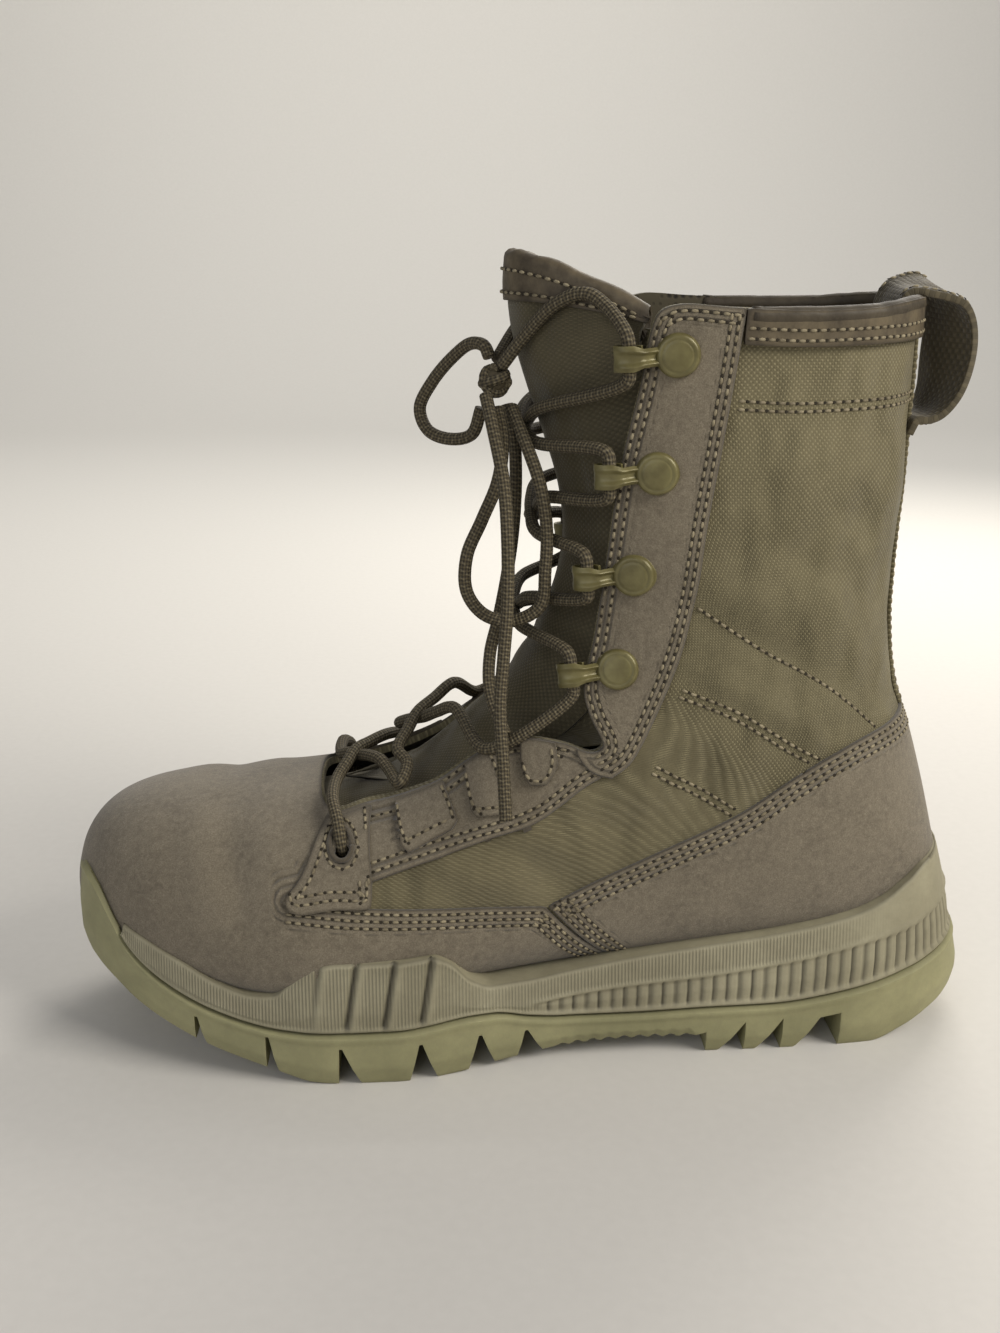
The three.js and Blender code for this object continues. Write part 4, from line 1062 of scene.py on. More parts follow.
# %% Every seam of the upper
# Rows lie this far inside the edge they follow.
TRIPLE, DOUBLE = (1.7, 3.9, 6.1), (1.7, 3.9)
seams("stitch_vamp", [(line, TRIPLE, LIFT["vamp"], vamp_region) for line in (STRIP_TOP, VAMP_BACK)])
seams("stitch_counter", [
    (line, TRIPLE, LIFT["vamp"], counter_region) for line in (COUNTER_TOP[:-1], [(-78, 29), *COUNTER_FRONT])
])
heights = np.arange(250, 110, -STITCH_PITCH)
spots, runs, outs = [], [], []
for y in (-BACKSTAY_HALF + 1.6, BACKSTAY_HALF - 1.6):
    places, out = on_backstay(heights, np.full(len(heights), y), BACKSTAY_LIFT + THREAD_LIFT)
    below_collar = places[:, 2] < 226
    spots.append(places[below_collar])
    runs.append(np.gradient(places[below_collar], axis=0))
    outs.append(out[below_collar])
sew("stitch_backstay", spots, runs, outs, "nylon")

# The top row of the eyestay follows its real edge, which is found by coming down from above.
heights = np.arange(252, 226, -0.25)
EYESTAY_TOP = []
for x in np.arange(-84, -47, 3.0):
    column = np.column_stack([np.full(len(heights), x), heights])
    spots = on_last(*seat(column, LATERAL), LIFT["eyestay"] + THREAD_LIFT)
    inside = np.flatnonzero((eyestay_region(spots) < 0) & (np.abs(spots[:, 0] - x) < 1.5))
    if len(inside):
        EYESTAY_TOP.append((x, float(spots[inside[0], 2])))
throat_front = [point for point in THROAT if -90.6 <= point[0] <= -70 and point[1] > 104]
seams("stitch_eyestay", [
    (line, DOUBLE, LIFT["eyestay"], eyestay_region) for line in (EYESTAY_BACK, throat_front, EYESTAY_TOP)
])
throat_foot = [point for point in THROAT if point[0] < -90 and 83 < point[1] < 112]
round_eyelet = [EYELET + (5.2 * math.cos(a), 5.2 * math.sin(a)) for a in np.linspace(0, 6.283, 13)]
keeper_rows = [([corners[k] for k in picked], (inset,), LIFT["keeper"], body)
               for picked, inset in (((0, 5, 4), -1.3), ((1, 2, 3), 1.3), ((3, 4), 1.3))
               for corners in list(KEEPERS.values())[:2]]
seams("stitch_facing", [
    (FACING_FOOT, DOUBLE, LIFT["facing"], facing_region),
    (CORNER, (1.6, 3.7), LIFT["corner"], corner_region),
    ([(-157.6, 66), (-158.6, 82), (-160, 90)], (0.4, 2.5), LIFT["corner"], corner_region),
    (throat_foot, (2.0, 4.1), LIFT["facing"], facing_region),
    (round_eyelet, (0.0,), LIFT["corner"], corner_region),
    *keeper_rows,
    (KEEPERS["keeper_flap"][1:], (1.3,), LIFT["keeper"], body),
])
COLLAR_LOW = [(-47, 229.4), (-30, 228.6), (-8, 228.8), (4, 229), (12.6, 229.6)]
seams("stitch_collar", [(COLLAR_LOW, (-1.9, -5.0), LIFT["collar"], collar_region)])
nylon_only = both(outside_of(counter_region), outside_of(eyestay_region), outside_of(facing_region))
NYLON_ROWS = [
    ([(-48, 213.4), (-30, 212.4), (-8, 212.6), (4, 213), (12, 213.2)], (0.0, 2.4)),
    ([(-57.1, 152), (-37.3, 138.6), (-14.2, 124.8), (7.6, 106.1)], (0.0,)),
    ([(-61, 126.2), (-42.8, 118.5), (-22.9, 106), (-5.3, 96.7)], (0.0, 2.4)),
    ([(-68.6, 102), (-54.3, 94.4), (-42.8, 87.1)], (0.0, 2.4)),
]
seams("stitch_nylon", [(line, offsets, THREAD_LIFT, nylon_only) for line, offsets in NYLON_ROWS], "nylon")

# %% [markdown]
# ## The sole
# The sole is two moulded pieces: a soft midsole whose wall carries the ribs, and a lugged rubber
# outsole that also turns up over the toe. Each is one grid wrapped round the outline and closed
# along a spine above and below. Then the last is cut out of them with a boolean, because the
# foot sinks into both, and the notches between the lugs are cut the same way.

# %% Outline and heights of the sole
def smooth_column(keys, values):
    """A monotone cubic through a column of a table, so it never overshoots a row."""
    keys, values = np.array(keys, float), np.array(values, float)
    slope = np.diff(values) / np.diff(keys)
    product = slope[:-1] * slope[1:]
    inner = np.where(product > 0, 2 * product / np.where(product > 0, slope[:-1] + slope[1:], 1), 0)
    tangent = np.concatenate([slope[:1], inner, slope[-1:]])

    def at(x):
        x = np.clip(x, keys[0], keys[-1])
        i = np.clip(np.searchsorted(keys, x, side="right") - 1, 0, len(keys) - 2)
        step = keys[i + 1] - keys[i]
        t = (x - keys[i]) / step
        return ((2 * t**3 - 3 * t**2 + 1) * values[i] + (t**3 - 2 * t**2 + t) * step * tangent[i]
                + (3 * t**2 - 2 * t**3) * values[i + 1] + (t**3 - t**2) * step * tangent[i + 1])
    return at


SOLE_OUTLINE = np.array([
    # x, lateral, medial
    (-260.5, 5, 11), (-259.4, -3, 18), (-256, -12, 26), (-249, -21.5, 34), (-239, -30.5, 42),
    (-226, -39.2, 49.3), (-209, -46.8, 54), (-190, -51.8, 56), (-170, -54.6, 54.8), (-150, -54.4, 50.5),
    (-130, -50.5, 44.5), (-110, -45.8, 38.8), (-90, -42.8, 35.5), (-65, -41.4, 35), (-40, -41, 36.4),
    (-15, -40.2, 38), (6, -38.4, 37.6), (21, -34.6, 34.2), (32.5, -28, 28), (41, -19, 19), (45.8, -10, 10),
    (47.5, -3.5, 3.5),
])
SOLE_HEIGHTS = np.array([
    # x, tread, parting, rim
    (-260.5, 42, 57.5, 57.5), (-256, 34.5, 60, 59), (-249, 28.5, 57, 55), (-241, 23.7, 47, 48),
    (-236, 20.6, 39.5, 46), (-228, 17.0, 33, 43), (-217, 12.8, 27.5, 38.6), (-206, 9.2, 23.6, 33.4),
    (-195, 6.0, 20.8, 30.6), (-188.5, 4.0, 19.6, 31), (-183.5, 2.4, 19.1, 35), (-177, 0.6, 18.7, 41.2),
    (-168, 0, 18.6, 43.2), (-150, 0, 18.8, 43.2), (-138, 0, 19.6, 43.6), (-132.5, 0.3, 20.2, 40.8),
    (-125.5, 1.0, 20.8, 33.2), (-119, 2.0, 20.7, 30.2), (-107, 3.4, 18, 30.6), (-97, 4.8, 16.6, 32),
    (-72, 5.8, 16, 36), (-54, 5.6, 16.6, 38.6), (-50, 0, 16.8, 39.2), (-26, 0, 17.4, 42.6),
    (-3, 0, 20.6, 47.4), (8, 0, 23, 51.4), (20, 3.6, 26, 57.6), (30, 7.2, 28.2, 61.8),
    (41, 10.5, 30, 63), (47.5, 12.5, 30.8, 63.2),
])
lateral_at, medial_at = [smooth_column(SOLE_OUTLINE[:, 0], SOLE_OUTLINE[:, k]) for k in (1, 2)]
tread_at, parting_at, rim_at = [smooth_column(SOLE_HEIGHTS[:, 0], SOLE_HEIGHTS[:, k]) for k in (1, 2, 3)]
HEEL_BACK = 47.5
HEEL_LEAN, TOE_LEAN = 0.25, 0.16


# %% Points of the sole's wall
def sole_points(x, side, inset, z, share=1.0):
    """Points of the wall; side runs from -1 lateral to 1 medial, share shrinks towards a spine."""
    middle, half = (lateral_at(x) + medial_at(x)) / 2, (medial_at(x) - lateral_at(x)) / 2
    kept = np.maximum(half - inset * np.minimum(1, half / 25), half * 0.3)
    end_shift = inset * np.maximum(0, 1 - half / 25) * np.sign(-100 - x)
    lean = HEEL_LEAN * np.maximum(0, z - 16) * (np.maximum(0, x) / HEEL_BACK) ** 1.5
    lean -= TOE_LEAN * np.maximum(0, z - 36) * (np.maximum(0, -232 - x) / 28) ** 1.3
    return np.column_stack([x - lean + end_shift, middle + side * kept * share, z])


def outline_stations(front, spacing):
    """x and side once round: down the lateral side, round the heel, back up the medial side."""
    fine = np.linspace(front, HEEL_BACK, 4000)
    reach = run_length(np.column_stack([fine, (medial_at(fine) - lateral_at(fine)) / 2]))
    xs = np.interp(np.linspace(0, reach[-1], int(reach[-1] / spacing)), reach, fine)
    back_fan = np.linspace(-1, 1, 8)[1:-1]
    front_width = medial_at(front) - lateral_at(front)
    front_fan = np.linspace(1, -1, max(8, int(front_width / spacing / 1.5)))[1:]
    x = np.concatenate([xs, np.full(len(back_fan), HEEL_BACK), xs[::-1], np.full(len(front_fan), front)])
    side = np.concatenate([np.full(len(xs), -1.0), back_fan, np.ones(len(xs)), front_fan])
    return x, side


# %% A layer of the sole
def sole_layer(front, spacing, levels, relief, ribbed=None):
    """A closed bmesh. levels are rows of (share to the spine, inset, height at x), floor first."""
    x, side = outline_stations(front, spacing)
    made, across, along = new_grid(len(x) - 1, len(levels) - 1)
    column = np.rint(across * (len(x) - 1)).astype(int)
    row = np.rint(along * (len(levels) - 1)).astype(int)
    shape = (len(levels), len(x))
    share = np.array([level[0] for level in levels])[:, None] + np.zeros(shape)
    inset = np.array([level[1](x) + np.zeros(len(x)) for level in levels])
    height = np.array([level[2](x) for level in levels])
    x_all, side_all = np.broadcast_to(x, shape), np.broadcast_to(side, shape)
    grids = [grid.ravel() for grid in (x_all, side_all, inset, height, share)]
    plain = sole_points(*grids).reshape(*shape, 3)
    round_wall = sole_points(x, side, 0.0 * x, parting_at(x))
    reach = run_length(round_wall)
    circle = np.vstack([round_wall[-2], round_wall, round_wall[1]])
    heading = unit((circle[2:] - circle[:-2])[:, :2])
    out = np.column_stack([heading[:, 1], -heading[:, 0], np.zeros(len(x))])
    on_wall = (share[:, :1] >= 1).astype(float)
    lift, hollow = relief(plain[..., 2], x_all, reach[None, :])
    plain = plain + out[None] * (lift * on_wall)[..., None]
    ribs = ribbed(plain[..., 2], x_all) * on_wall if ribbed else np.zeros(shape)
    uv = np.stack([np.broadcast_to(reach, shape), height], axis=-1)
    pick = (row, column)
    lay(made, plain[pick], uv[pick], hollow=(hollow * on_wall)[pick], ribbed=ribs[pick])
    return made


def level_ladder(low, high, count, inset):
    """Even wall levels from low(x) to high(x); inset is given by the share of the way up."""
    return [(1.0, lambda x, s=s: inset(x, s), lambda x, s=s: low(x) + s * (high(x) - low(x)))
            for s in np.linspace(0, 1, count)]


def cap_levels(height, inset, shares):
    return [(share, inset, height) for share in shares]


# %% The last and other solids to cut with
def cutter(name, made):
    """A closed object with clean normals, to cut with."""
    bmesh.ops.remove_doubles(made, verts=made.verts[:], dist=0.01 * MM)
    bmesh.ops.holes_fill(made, edges=[edge for edge in made.edges if edge.is_boundary], sides=0)
    bmesh.ops.triangulate(made, faces=made.faces[:])
    bmesh.ops.recalc_face_normals(made, faces=made.faces[:])
    return placed(name, mesh_of(name, made))


def cut_away(thing, tool):
    """Cuts tool out of thing for good."""
    cut = thing.modifiers.new("cut", "BOOLEAN")
    cut.operation = "DIFFERENCE"
    cut.solver = "MANIFOLD"
    cut.object = tool
    result = bpy.data.meshes.new_from_object(thing.evaluated_get(bpy.context.evaluated_depsgraph_get()))
    before = len(thing.data.polygons)
    thing.modifiers.remove(cut)
    thing.data = result
    print(f"  {thing.name}: {before} -> {len(result.polygons)} faces after {tool.name}")


LAST_CLEARANCE = 0.3
made, across, along = new_grid(90, len(LAST) // 3)
row = along * (len(LAST) - 1)
lift = np.where(row < 3, 0, LAST_CLEARANCE)
lay(made, on_last(np.minimum(row, len(LAST) - 1.01), across * AROUND, lift))
last_tool = cutter("last_tool", made)

# %% [markdown]
# ### Midsole
# Its wall has three kinds of relief: overlapping outrigger plates at the ball, upright bars under
# the heel, and fine ribs nearly everywhere. Plates and bars are deep enough to need geometry,
# while the fine ribs are bump, with painted shade in each valley so they still read from afar.

# %% The midsole wall
GAP = 0.35
BAR_PITCH, BARS_FROM = 4.2, -105
BAR_TOP = smooth_column(
    [-106, -84, -51, -18, 5, 23, 29, 47.5], [22.4, 25.2, 28.4, 33.2, 38.4, 42, 43.6, 47])
OUTRIGGER_GROOVES, GROOVE_SLANT, OUTRIGGER_X = (-177.0, -165.4, -153.6, -141.9), 0.16, -150


def mid_floor(x):
    return parting_at(x) + GAP * 1.4


def mid_top(x):
    return np.maximum(rim_at(x), mid_floor(x) + 1.2)


def mid_inset(x, s):
    outrigger = np.maximum(0, 1 - ((x - OUTRIGGER_X) / 26) ** 4)
    foot, rim = np.interp(s, [0, 0.3, 0.75, 1], [1.1, 0.1, 0, 0]), np.interp(s, [0.3, 0.75, 1], [0, 0.6, 1])
    return foot + (1.7 - 0.7 * outrigger) * rim


# %% Relief of the midsole wall
def pulse(distance, width):
    return np.exp(-(distance / width) ** 2)


def step_up(value, width):
    """0 below, 1 above, smooth over a width."""
    return 1 / (1 + np.exp(-np.clip(value / width, -40, 40)))


def mid_relief(z, x, reach):
    """How far the wall stands out and how much painted shade it gets, at each height, x and way round."""
    lift, hollow = np.zeros(z.shape), np.zeros(z.shape)
    above = z - mid_floor(x)
    below_rim = mid_top(x) - z
    # Bars under the arch and heel, in a shallow band below a sharp lip.
    in_band = step_up(x - BARS_FROM, 1.0) * step_up(above - 1.8, 0.25) * step_up(BAR_TOP(x) - z, 0.25)
    phase = (reach / BAR_PITCH) % 1 - 0.5
    slot = pulse(phase * BAR_PITCH, 0.5)
    lift += in_band * (-0.35 - 1.1 * slot)
    # Painted shade in the slots between the bars.
    hollow += in_band * slot
    lift += 0.55 * step_up(x - BARS_FROM, 1.0) * pulse(z - BAR_TOP(x) - 0.9, 0.8)
    # Plates of the outrigger: each starts proud after a deep groove and thins towards the next.
    strength = step_up(24 - np.abs(x - OUTRIGGER_X), 1.2) * step_up(above - 1.4, 0.4)
    for groove in OUTRIGGER_GROOVES:
        ahead = x - groove - GROOVE_SLANT * (z - 20)
        deep = pulse(ahead, 0.8)
        lift += strength * (-1.6 * deep + 0.9 * np.where(ahead > 0, np.exp(-ahead / 3.2), 0) * (1 - deep))
        # Painted shade in each deep groove.
        hollow += strength * deep
    lift += 0.35 * strength * pulse(below_rim - 0.8, 1.0)
    # A beaded foot where the wall meets the outsole, and a soft rolled rim.
    lift += 0.5 * pulse(above - 0.9, 0.7) - 0.5 * np.exp(-above / 0.35)
    lift -= 0.7 * np.exp(-below_rim / 0.45)
    # Painted shade in the sunk lines at the foot and under the rim.
    hollow += 0.45 * np.exp(-above / 0.4) + 0.4 * np.exp(-below_rim / 0.3)
    return lift, np.clip(hollow, 0, 1)


# %% Its fine ribs, and the midsole itself
def mid_ribbed(z, x):
    """Where the fine upright ribs are."""
    above = z - mid_floor(x)
    plain_heel = step_up(x + 6, 5.0)
    bars = step_up(x - BARS_FROM, 1.0) * step_up(BAR_TOP(x) + 1.6 - z, 0.2)
    plate_edge = sum(pulse(x - groove - GROOVE_SLANT * (z - 20) - 2.0, 1.3) for groove in OUTRIGGER_GROOVES)
    keep = step_up(above - 1.6, 0.3) * step_up(mid_top(x) - z - 1.0, 0.3)
    return keep * (1 - plain_heel) * (1 - bars) * np.clip(1 - plate_edge, 0, 1)


mid_levels = [
    *cap_levels(mid_floor, lambda x: 1.1, (0.0, 0.5, 0.9)),
    *level_ladder(mid_floor, mid_top, 34, mid_inset),
    *cap_levels(mid_top, lambda x: mid_inset(x, 1.0), (0.96, 0.9, 0.5, 0.0)),
]
made = sole_layer(-238, 0.75, mid_levels, mid_relief, mid_ribbed)
midsole = piece("midsole_wall", made, midsole_rubber, ["midsole"])
cut_away(midsole, last_tool)

# %% [markdown]
# ### Outsole
# The lugs are what is left when notches are cut into the edge, so they are cut, not added. Under
# the arch the edge has only a fine wave, and the heel starts with three saw teeth for ladders.

# %% Notches and teeth
LATERAL_NOTCHES = [
    # x, top, front, back
    (-213.5, 21.5, 0.5, 2.4), (-190.5, 17.6, 0.5, 2.8), (-167.3, 14, 1.0, 6.2), (-142, 14.2, 3.6, 5.2),
    (-123, 14.2, 3.6, 5.0), (-108, 13.6, 2.6, 6.0),
]
MEDIAL_NOTCHES = [
    (-216, 22.5, 0.5, 4.0), (-198, 18.6, 0.5, 4.2), (-180, 15.5, 0.8, 4.6), (-161, 14, 1.2, 5.4),
    (-141, 14.2, 2.8, 5.2), (-122, 14.2, 3.0, 5.0), (-106, 13.6, 2.6, 5.6),
]
TEETH = [(-48.0, -35.4, 11.9), (-35.4, -22.9, 12.6)]
NOTCH_REACH, TOOTH_TIP = 24, 3.2
TREAD_CHANNELS = (-205, -183, -128, -112)


# %% Solids that cut the notches
def prism(profile, near, far):
    """A side profile of (x, z), extruded across the boot."""
    made = bmesh.new()
    corners = [made.verts.new(Vector((x, near, z)) * MM) for x, z in profile]
    face = made.faces.new(corners)
    grown = bmesh.ops.extrude_face_region(made, geom=[face])
    moved = [part for part in grown["geom"] if isinstance(part, bmesh.types.BMVert)]
    bmesh.ops.translate(made, verts=moved, vec=Vector((0, far - near, 0)) * MM)
    return made


def sole_at(x):
    """Tread height, lateral edge and medial edge at one x."""
    return [float(column(np.array([x]))[0]) for column in (tread_at, lateral_at, medial_at)]


cuts = []
for side, table in ((LATERAL, LATERAL_NOTCHES), (MEDIAL, MEDIAL_NOTCHES)):
    for x, top, front, back in table:
        tread, *edges = sole_at(x)
        edge = edges[side > 0]
        widen = (top + 3) / max(4, top - tread)
        near, far = sorted((edge - side * NOTCH_REACH, edge + side * 6))
        notch = [(x - 0.5, top), (x + 0.5, top), (x + back * widen, -3), (x - front * widen, -3)]
        cuts.append(prism(notch, near, far))
across_sole = [[(x + TOOTH_TIP, -1), (back + 0.01, top), (back + 0.01, -1)] for x, back, top in TEETH]
across_sole.append([(-19.0, -1), (-10.4, 12.2), (-3.4, 13.4), (-3.2, -1)])
across_sole.append([(-58, -1), (-58, 5.7), (-48.4, 8.4), (-48.0, -1)])
cuts += [prism(profile, -70, 70) for profile in across_sole]
for x in TREAD_CHANNELS:
    tread, lateral, medial = sole_at(x)
    channel = [(x - 2, -2), (x - 2, tread + 4), (x + 2, tread + 4), (x + 2, -2)]
    cuts.append(prism(channel, lateral + 26, medial - 26))


# %% The outsole, with its wave under the arch and its bead at the parting
def out_floor(x):
    wave = step_up(x + 97, 1.0) * step_up(-50 - x, 0.6)
    return tread_at(x) + wave * 0.55 * (1 - np.cos(x * 2 * math.pi / 5.2))


def out_inset(x, s):
    return np.interp(s, [0, 0.06, 0.35, 0.86, 0.95, 1], [3.2, 2.4, 0.6, 0.25, 0, 0.9])


def out_relief(z, x, reach):
    below = parting_at(x) - z
    lift = 0.45 * pulse(below - 1.7, 0.9) - 0.5 * np.exp(-below / 0.3)
    # Painted shade in the sunk line just under the parting.
    return lift, np.clip(0.35 * np.exp(-below / 0.35), 0, 1)


out_levels = [
    *cap_levels(out_floor, lambda x: 3.2, (0.0, 0.35, 0.7, 0.92)),
    *level_ladder(out_floor, parting_at, 20, out_inset),
    *cap_levels(parting_at, lambda x: 0.9, (0.95, 0.85, 0.5, 0.0)),
]
made = sole_layer(-260.5, 1.2, out_levels, out_relief)
outsole = piece("outsole_lugged", made, outsole_rubber, ["outsole"])
for i, cut in enumerate(cuts):
    tool = cutter(f"lug_tool_{i}", cut)
    cut_away(outsole, tool)
    bpy.data.objects.remove(tool)
cut_away(outsole, last_tool)
bpy.data.objects.remove(last_tool)
round_edges(outsole, 0.5, 42)

# %% The sock inside, on the floor of the last
SOCK_THICK = 3.4
sock_floor = smooth_column(UPPER[2:17, 2], UPPER[2:17, 3])
made, across, along = new_grid(24, 120)
x = -240 + along * 266
height = sock_floor(x) + 6.4
low, high = [on_last(*seat(np.column_stack([x, height]), side), -SOCK_THICK) for side in (LATERAL, MEDIAL)]
y = low[:, 1] * (1 - across) + high[:, 1] * across
cup = 2.2 * np.abs(2 * across - 1) ** 4
lay(made, np.column_stack([x, y, height + cup]), np.column_stack([y, x]), rim=5.0)
piece("sock_liner", made, sock_knit, ["insole"], wall=SOCK_THICK, edge=0.8, turn_out=False)

# %% [markdown]
# ## Tongue
# The tongue is a padded nylon tray that runs up in front of the shin. It is one sheet on a curved
# path, whose edges turn back round the leg, given its padding by a thick wall with a deep round
# edge. A leather binding folds over its top, which is what the hand pulls.

# %% The tongue's path
TONGUE = np.array([
    # x, z, half, wrap, dip
    (-186, 80.0, 19, 3.5, 0), (-171, 82.0, 22, 5, 0), (-157, 85.0, 24, 6.5, 0), (-144, 91.0, 25.5, 9, 0),
    (-132.5, 99.6, 26.5, 12, 0), (-122.5, 109.8, 26.5, 15, 0), (-113.2, 121.5, 26, 22, 0),
    (-104.2, 136, 26.5, 25, 0), (-97.4, 151, 27, 26, 0), (-94.6, 167, 27.5, 26, 0),
    (-96.2, 183, 28.5, 27, 0), (-101, 199, 29.5, 30, 0), (-106.6, 215, 30.5, 33, 1),
    (-111, 230, 31, 36, 5), (-112.6, 243, 31, 38, 9), (-112.2, 253, 30.5, 38, 12),
])
TONGUE_TOP = 14.95


def tongue_points(row, side, depth=0.0):
    """Its outer face; depth goes into the padding."""
    def face(r, s):
        here, ahead, behind = [
            through_rows(TONGUE, np.clip(r + shift, 0, len(TONGUE) - 1.001)) for shift in (0, 0.3, -0.3)]
        x, z, half, wrap, dip = here.T
        run = unit(ahead[:, :2] - behind[:, :2])
        back = wrap * np.abs(s) ** 2.1
        return np.column_stack([
            x + run[:, 1] * back, half * s, z - run[:, 0] * back - dip * np.abs(s) ** 3.2])
    here = face(row, side)
    up = face(row + 0.1, side) - face(row - 0.1, side)
    across = face(row, side + 0.03) - face(row, side - 0.03)
    return here + unit(np.cross(across, up)) * np.reshape(depth, (-1, 1))


# %% The padded tongue
TONGUE_U = 34  # half its flat width, for the weave
made, across, along = new_grid(46, 190)
side, row = 2 * across - 1, along * 14.9
# Three soft folds above the instep, where it bends each step, and shallow quilting channels.
folds = sum(0.8 * pulse(row - at, 0.22) for at in (5.2, 6.1, 6.9)) * (1 - side**2)
quilt = 0.5 * (pulse(np.abs(side) - 0.52, 0.05) + pulse(side, 0.03)) * step_up(row - 8, 0.4)
bulge = -0.9 * np.sin(math.pi * np.clip((row - 2.0) / 4.5, 0, 1)) * (1 - side**2)
points = tongue_points(row, side, 0.2 + folds + quilt + bulge)
middle_rows = np.linspace(0, 15, 151)
up_mm = np.interp(row, middle_rows, run_length(tongue_points(middle_rows, np.zeros(151))))
lay(made, points, np.column_stack([side * TONGUE_U, up_mm]))
piece("tongue_padded", made, nylon_tongue, ["tongue"], wall=3.6, edge=1.3)

# %% The binding folded over its top, with its two rows of stitches
BINDING_DEEP, FOLD = 13.0, 3.0
ROWS_PER_MM = 1 / 11.0
made, across, along = new_grid(60, 30)
side = 2 * across - 1
profile = (2 * along - 1) * (BINDING_DEEP + FOLD)
around_top = np.clip(profile / FOLD, -1, 1) * math.pi / 2
down = np.maximum(np.abs(profile) - FOLD, 0)
top = tongue_points(TONGUE_TOP - down * ROWS_PER_MM, side * 1.015, 1.9 + 3.0 * np.sin(around_top))
wobble = 0.35 * np.sin(side * 19) * np.cos(around_top) ** 0.5
top[:, 2] += 2.4 * np.cos(around_top) + wobble
rim = np.minimum((1 - np.abs(side)) * 30, BINDING_DEEP - down)
lay(made, top, np.column_stack([side * TONGUE_U, profile]), rim=rim)
piece("tongue_binding", made, collar_leather, wall=0.9, edge=0.3)
spots, outs = [], []
for down in (4.5, 10.8):
    row = TONGUE_TOP - down * ROWS_PER_MM
    sides = np.linspace(-0.96, 0.96, 200)
    reach = run_length(tongue_points(np.full(200, row), sides))
    sides = np.interp(np.arange(1, reach[-1], STITCH_PITCH), reach, sides)
    rows = np.full(len(sides), row)
    spots.append(tongue_points(rows, sides * 1.015, -1.6))
    outs.append(unit(tongue_points(rows, sides, -1.0) - tongue_points(rows, sides)))
sew("stitch_tongue", spots, [np.gradient(row, axis=0) for row in spots], outs, "nylon")

# %% The gusset, a bellows between the tongue and the throat
def gusset(side):
    """A sheet from the tongue's edge out to the inside of the throat, sagging between them."""
    inner = tongue_points(np.linspace(3.2, 13.2, 41), np.full(41, side * 0.86), 2.2)
    throat_line = [point for point in THROAT if 92 < point[1] < 236 and point[0] < -72]
    throat_line = evenly(np.array(throat_line), 160)
    nearest = np.abs(throat_line[:, 1][None, :] - inner[:, 2][:, None]).argmin(axis=1)
    outer = on_last(*seat(throat_line[nearest] + (9.0, -2.0), side), -3.2)
    made, across, along = new_grid(12, 40)
    at = np.rint(along * 40).astype(int)
    mix = across[:, None]
    points = inner[at] * (1 - mix) + outer[at] * mix
    points[:, 0] += 4.5 * np.sin(math.pi * across)
    return lay(made, points, np.column_stack([across * 24, along * 80]))


piece("tongue_gusset", joined(gusset(LATERAL), gusset(MEDIAL)), nylon_tongue, wall=0.8, edge=0.15)

# %% [markdown]
# ## Speed hooks
# Each hook is a steel strip riveted through the eyestay: a round cap over the rivet, and a tongue of
# metal that runs forward over the lace and curls under it. The cap is a turned profile, so it
# is spun; the strip is a sheet with two pressed ribs, laid along its bent path.

# %% Where the hooks sit
# x, z and tilt in degrees, from the bottom hook up; the lace's tunnel is so far ahead and out.
HOOKS = [(-80.0, 132.2, -6), (-75.5, 161.8, -4), (-70.0, 192.6, -3), (-65.6, 226.5, -3)]
TUNNEL = (13.8, 3.8)


def hook_frame(row, side):
    """Centre and the three directions: ahead to the throat, out of the leather, and up."""
    x, z, tilt = row
    r, c = seat(np.array([[x, z]]), side)
    centre, out = on_last(r, c)[0], from_table(NORMALS, r, c)[0]
    level = np.array([-math.cos(math.radians(tilt)), 0, math.sin(math.radians(tilt))])
    ahead = level - out * (level @ out)
    ahead /= np.linalg.norm(ahead)
    up = np.cross(out, ahead)
    return centre, ahead, out, up if up[2] > 0 else -up


def in_hook(place, ahead_mm, out_mm, up_mm):
    centre, ahead, out, up = place
    return centre + np.outer(ahead_mm, ahead) + np.outer(out_mm, out) + np.outer(up_mm, up)


# %% The cap and the path of the strip
CAP_PROFILE = [
    (0, 4.1), (3.6, 4.1), (4.3, 4.0), (4.6, 3.75), (4.9, 3.95), (5.7, 3.75), (6.2, 3.2),
    (6.3, 2.2), (6.45, 1.7), (7.1, 1.5), (7.4, 1.0), (7.4, 0.2), (0, 0.2),
]


def turned(profile):
    """A lathe: the profile of (radius, height) is spun round the upright axis."""
    made = bmesh.new()
    corners = [made.verts.new((r, 0, h)) for r, h in profile]
    edges = [made.edges.new(pair) for pair in zip(corners, corners[1:])]
    bmesh.ops.spin(made, geom=corners + edges, cent=(0, 0, 0), axis=(0, 0, 1), angle=2 * math.pi,
                   steps=40, use_merge=True, use_duplicate=False)
    bmesh.ops.remove_doubles(made, verts=made.verts[:], dist=0.001)
    return made


# The strip's path, ahead and out of the leather: from the rivet, over the lace and curled under it.
straight = [(-1.0, 2.5), (4.5, 2.7), (7.4, 4.0), (9.8, 6.0)]
curl = [(TUNNEL[0] + 4.5 * math.cos(a), TUNNEL[1] + 2.9 * math.sin(a))
        for a in np.radians([100, 70, 40, 12, -20, -55, -90, -125, -150])]
HOOK_PATH = evenly(smooth_line(straight + curl, 0.5), 64)
HOOK_RUN = unit(np.gradient(HOOK_PATH, axis=0))
STRIP_SHARE, STRIP_HALF = [0, 0.1, 0.2, 0.37, 0.46, 0.75, 1], [5.6, 4.4, 2.7, 2.7, 3.7, 3.6, 3.3]

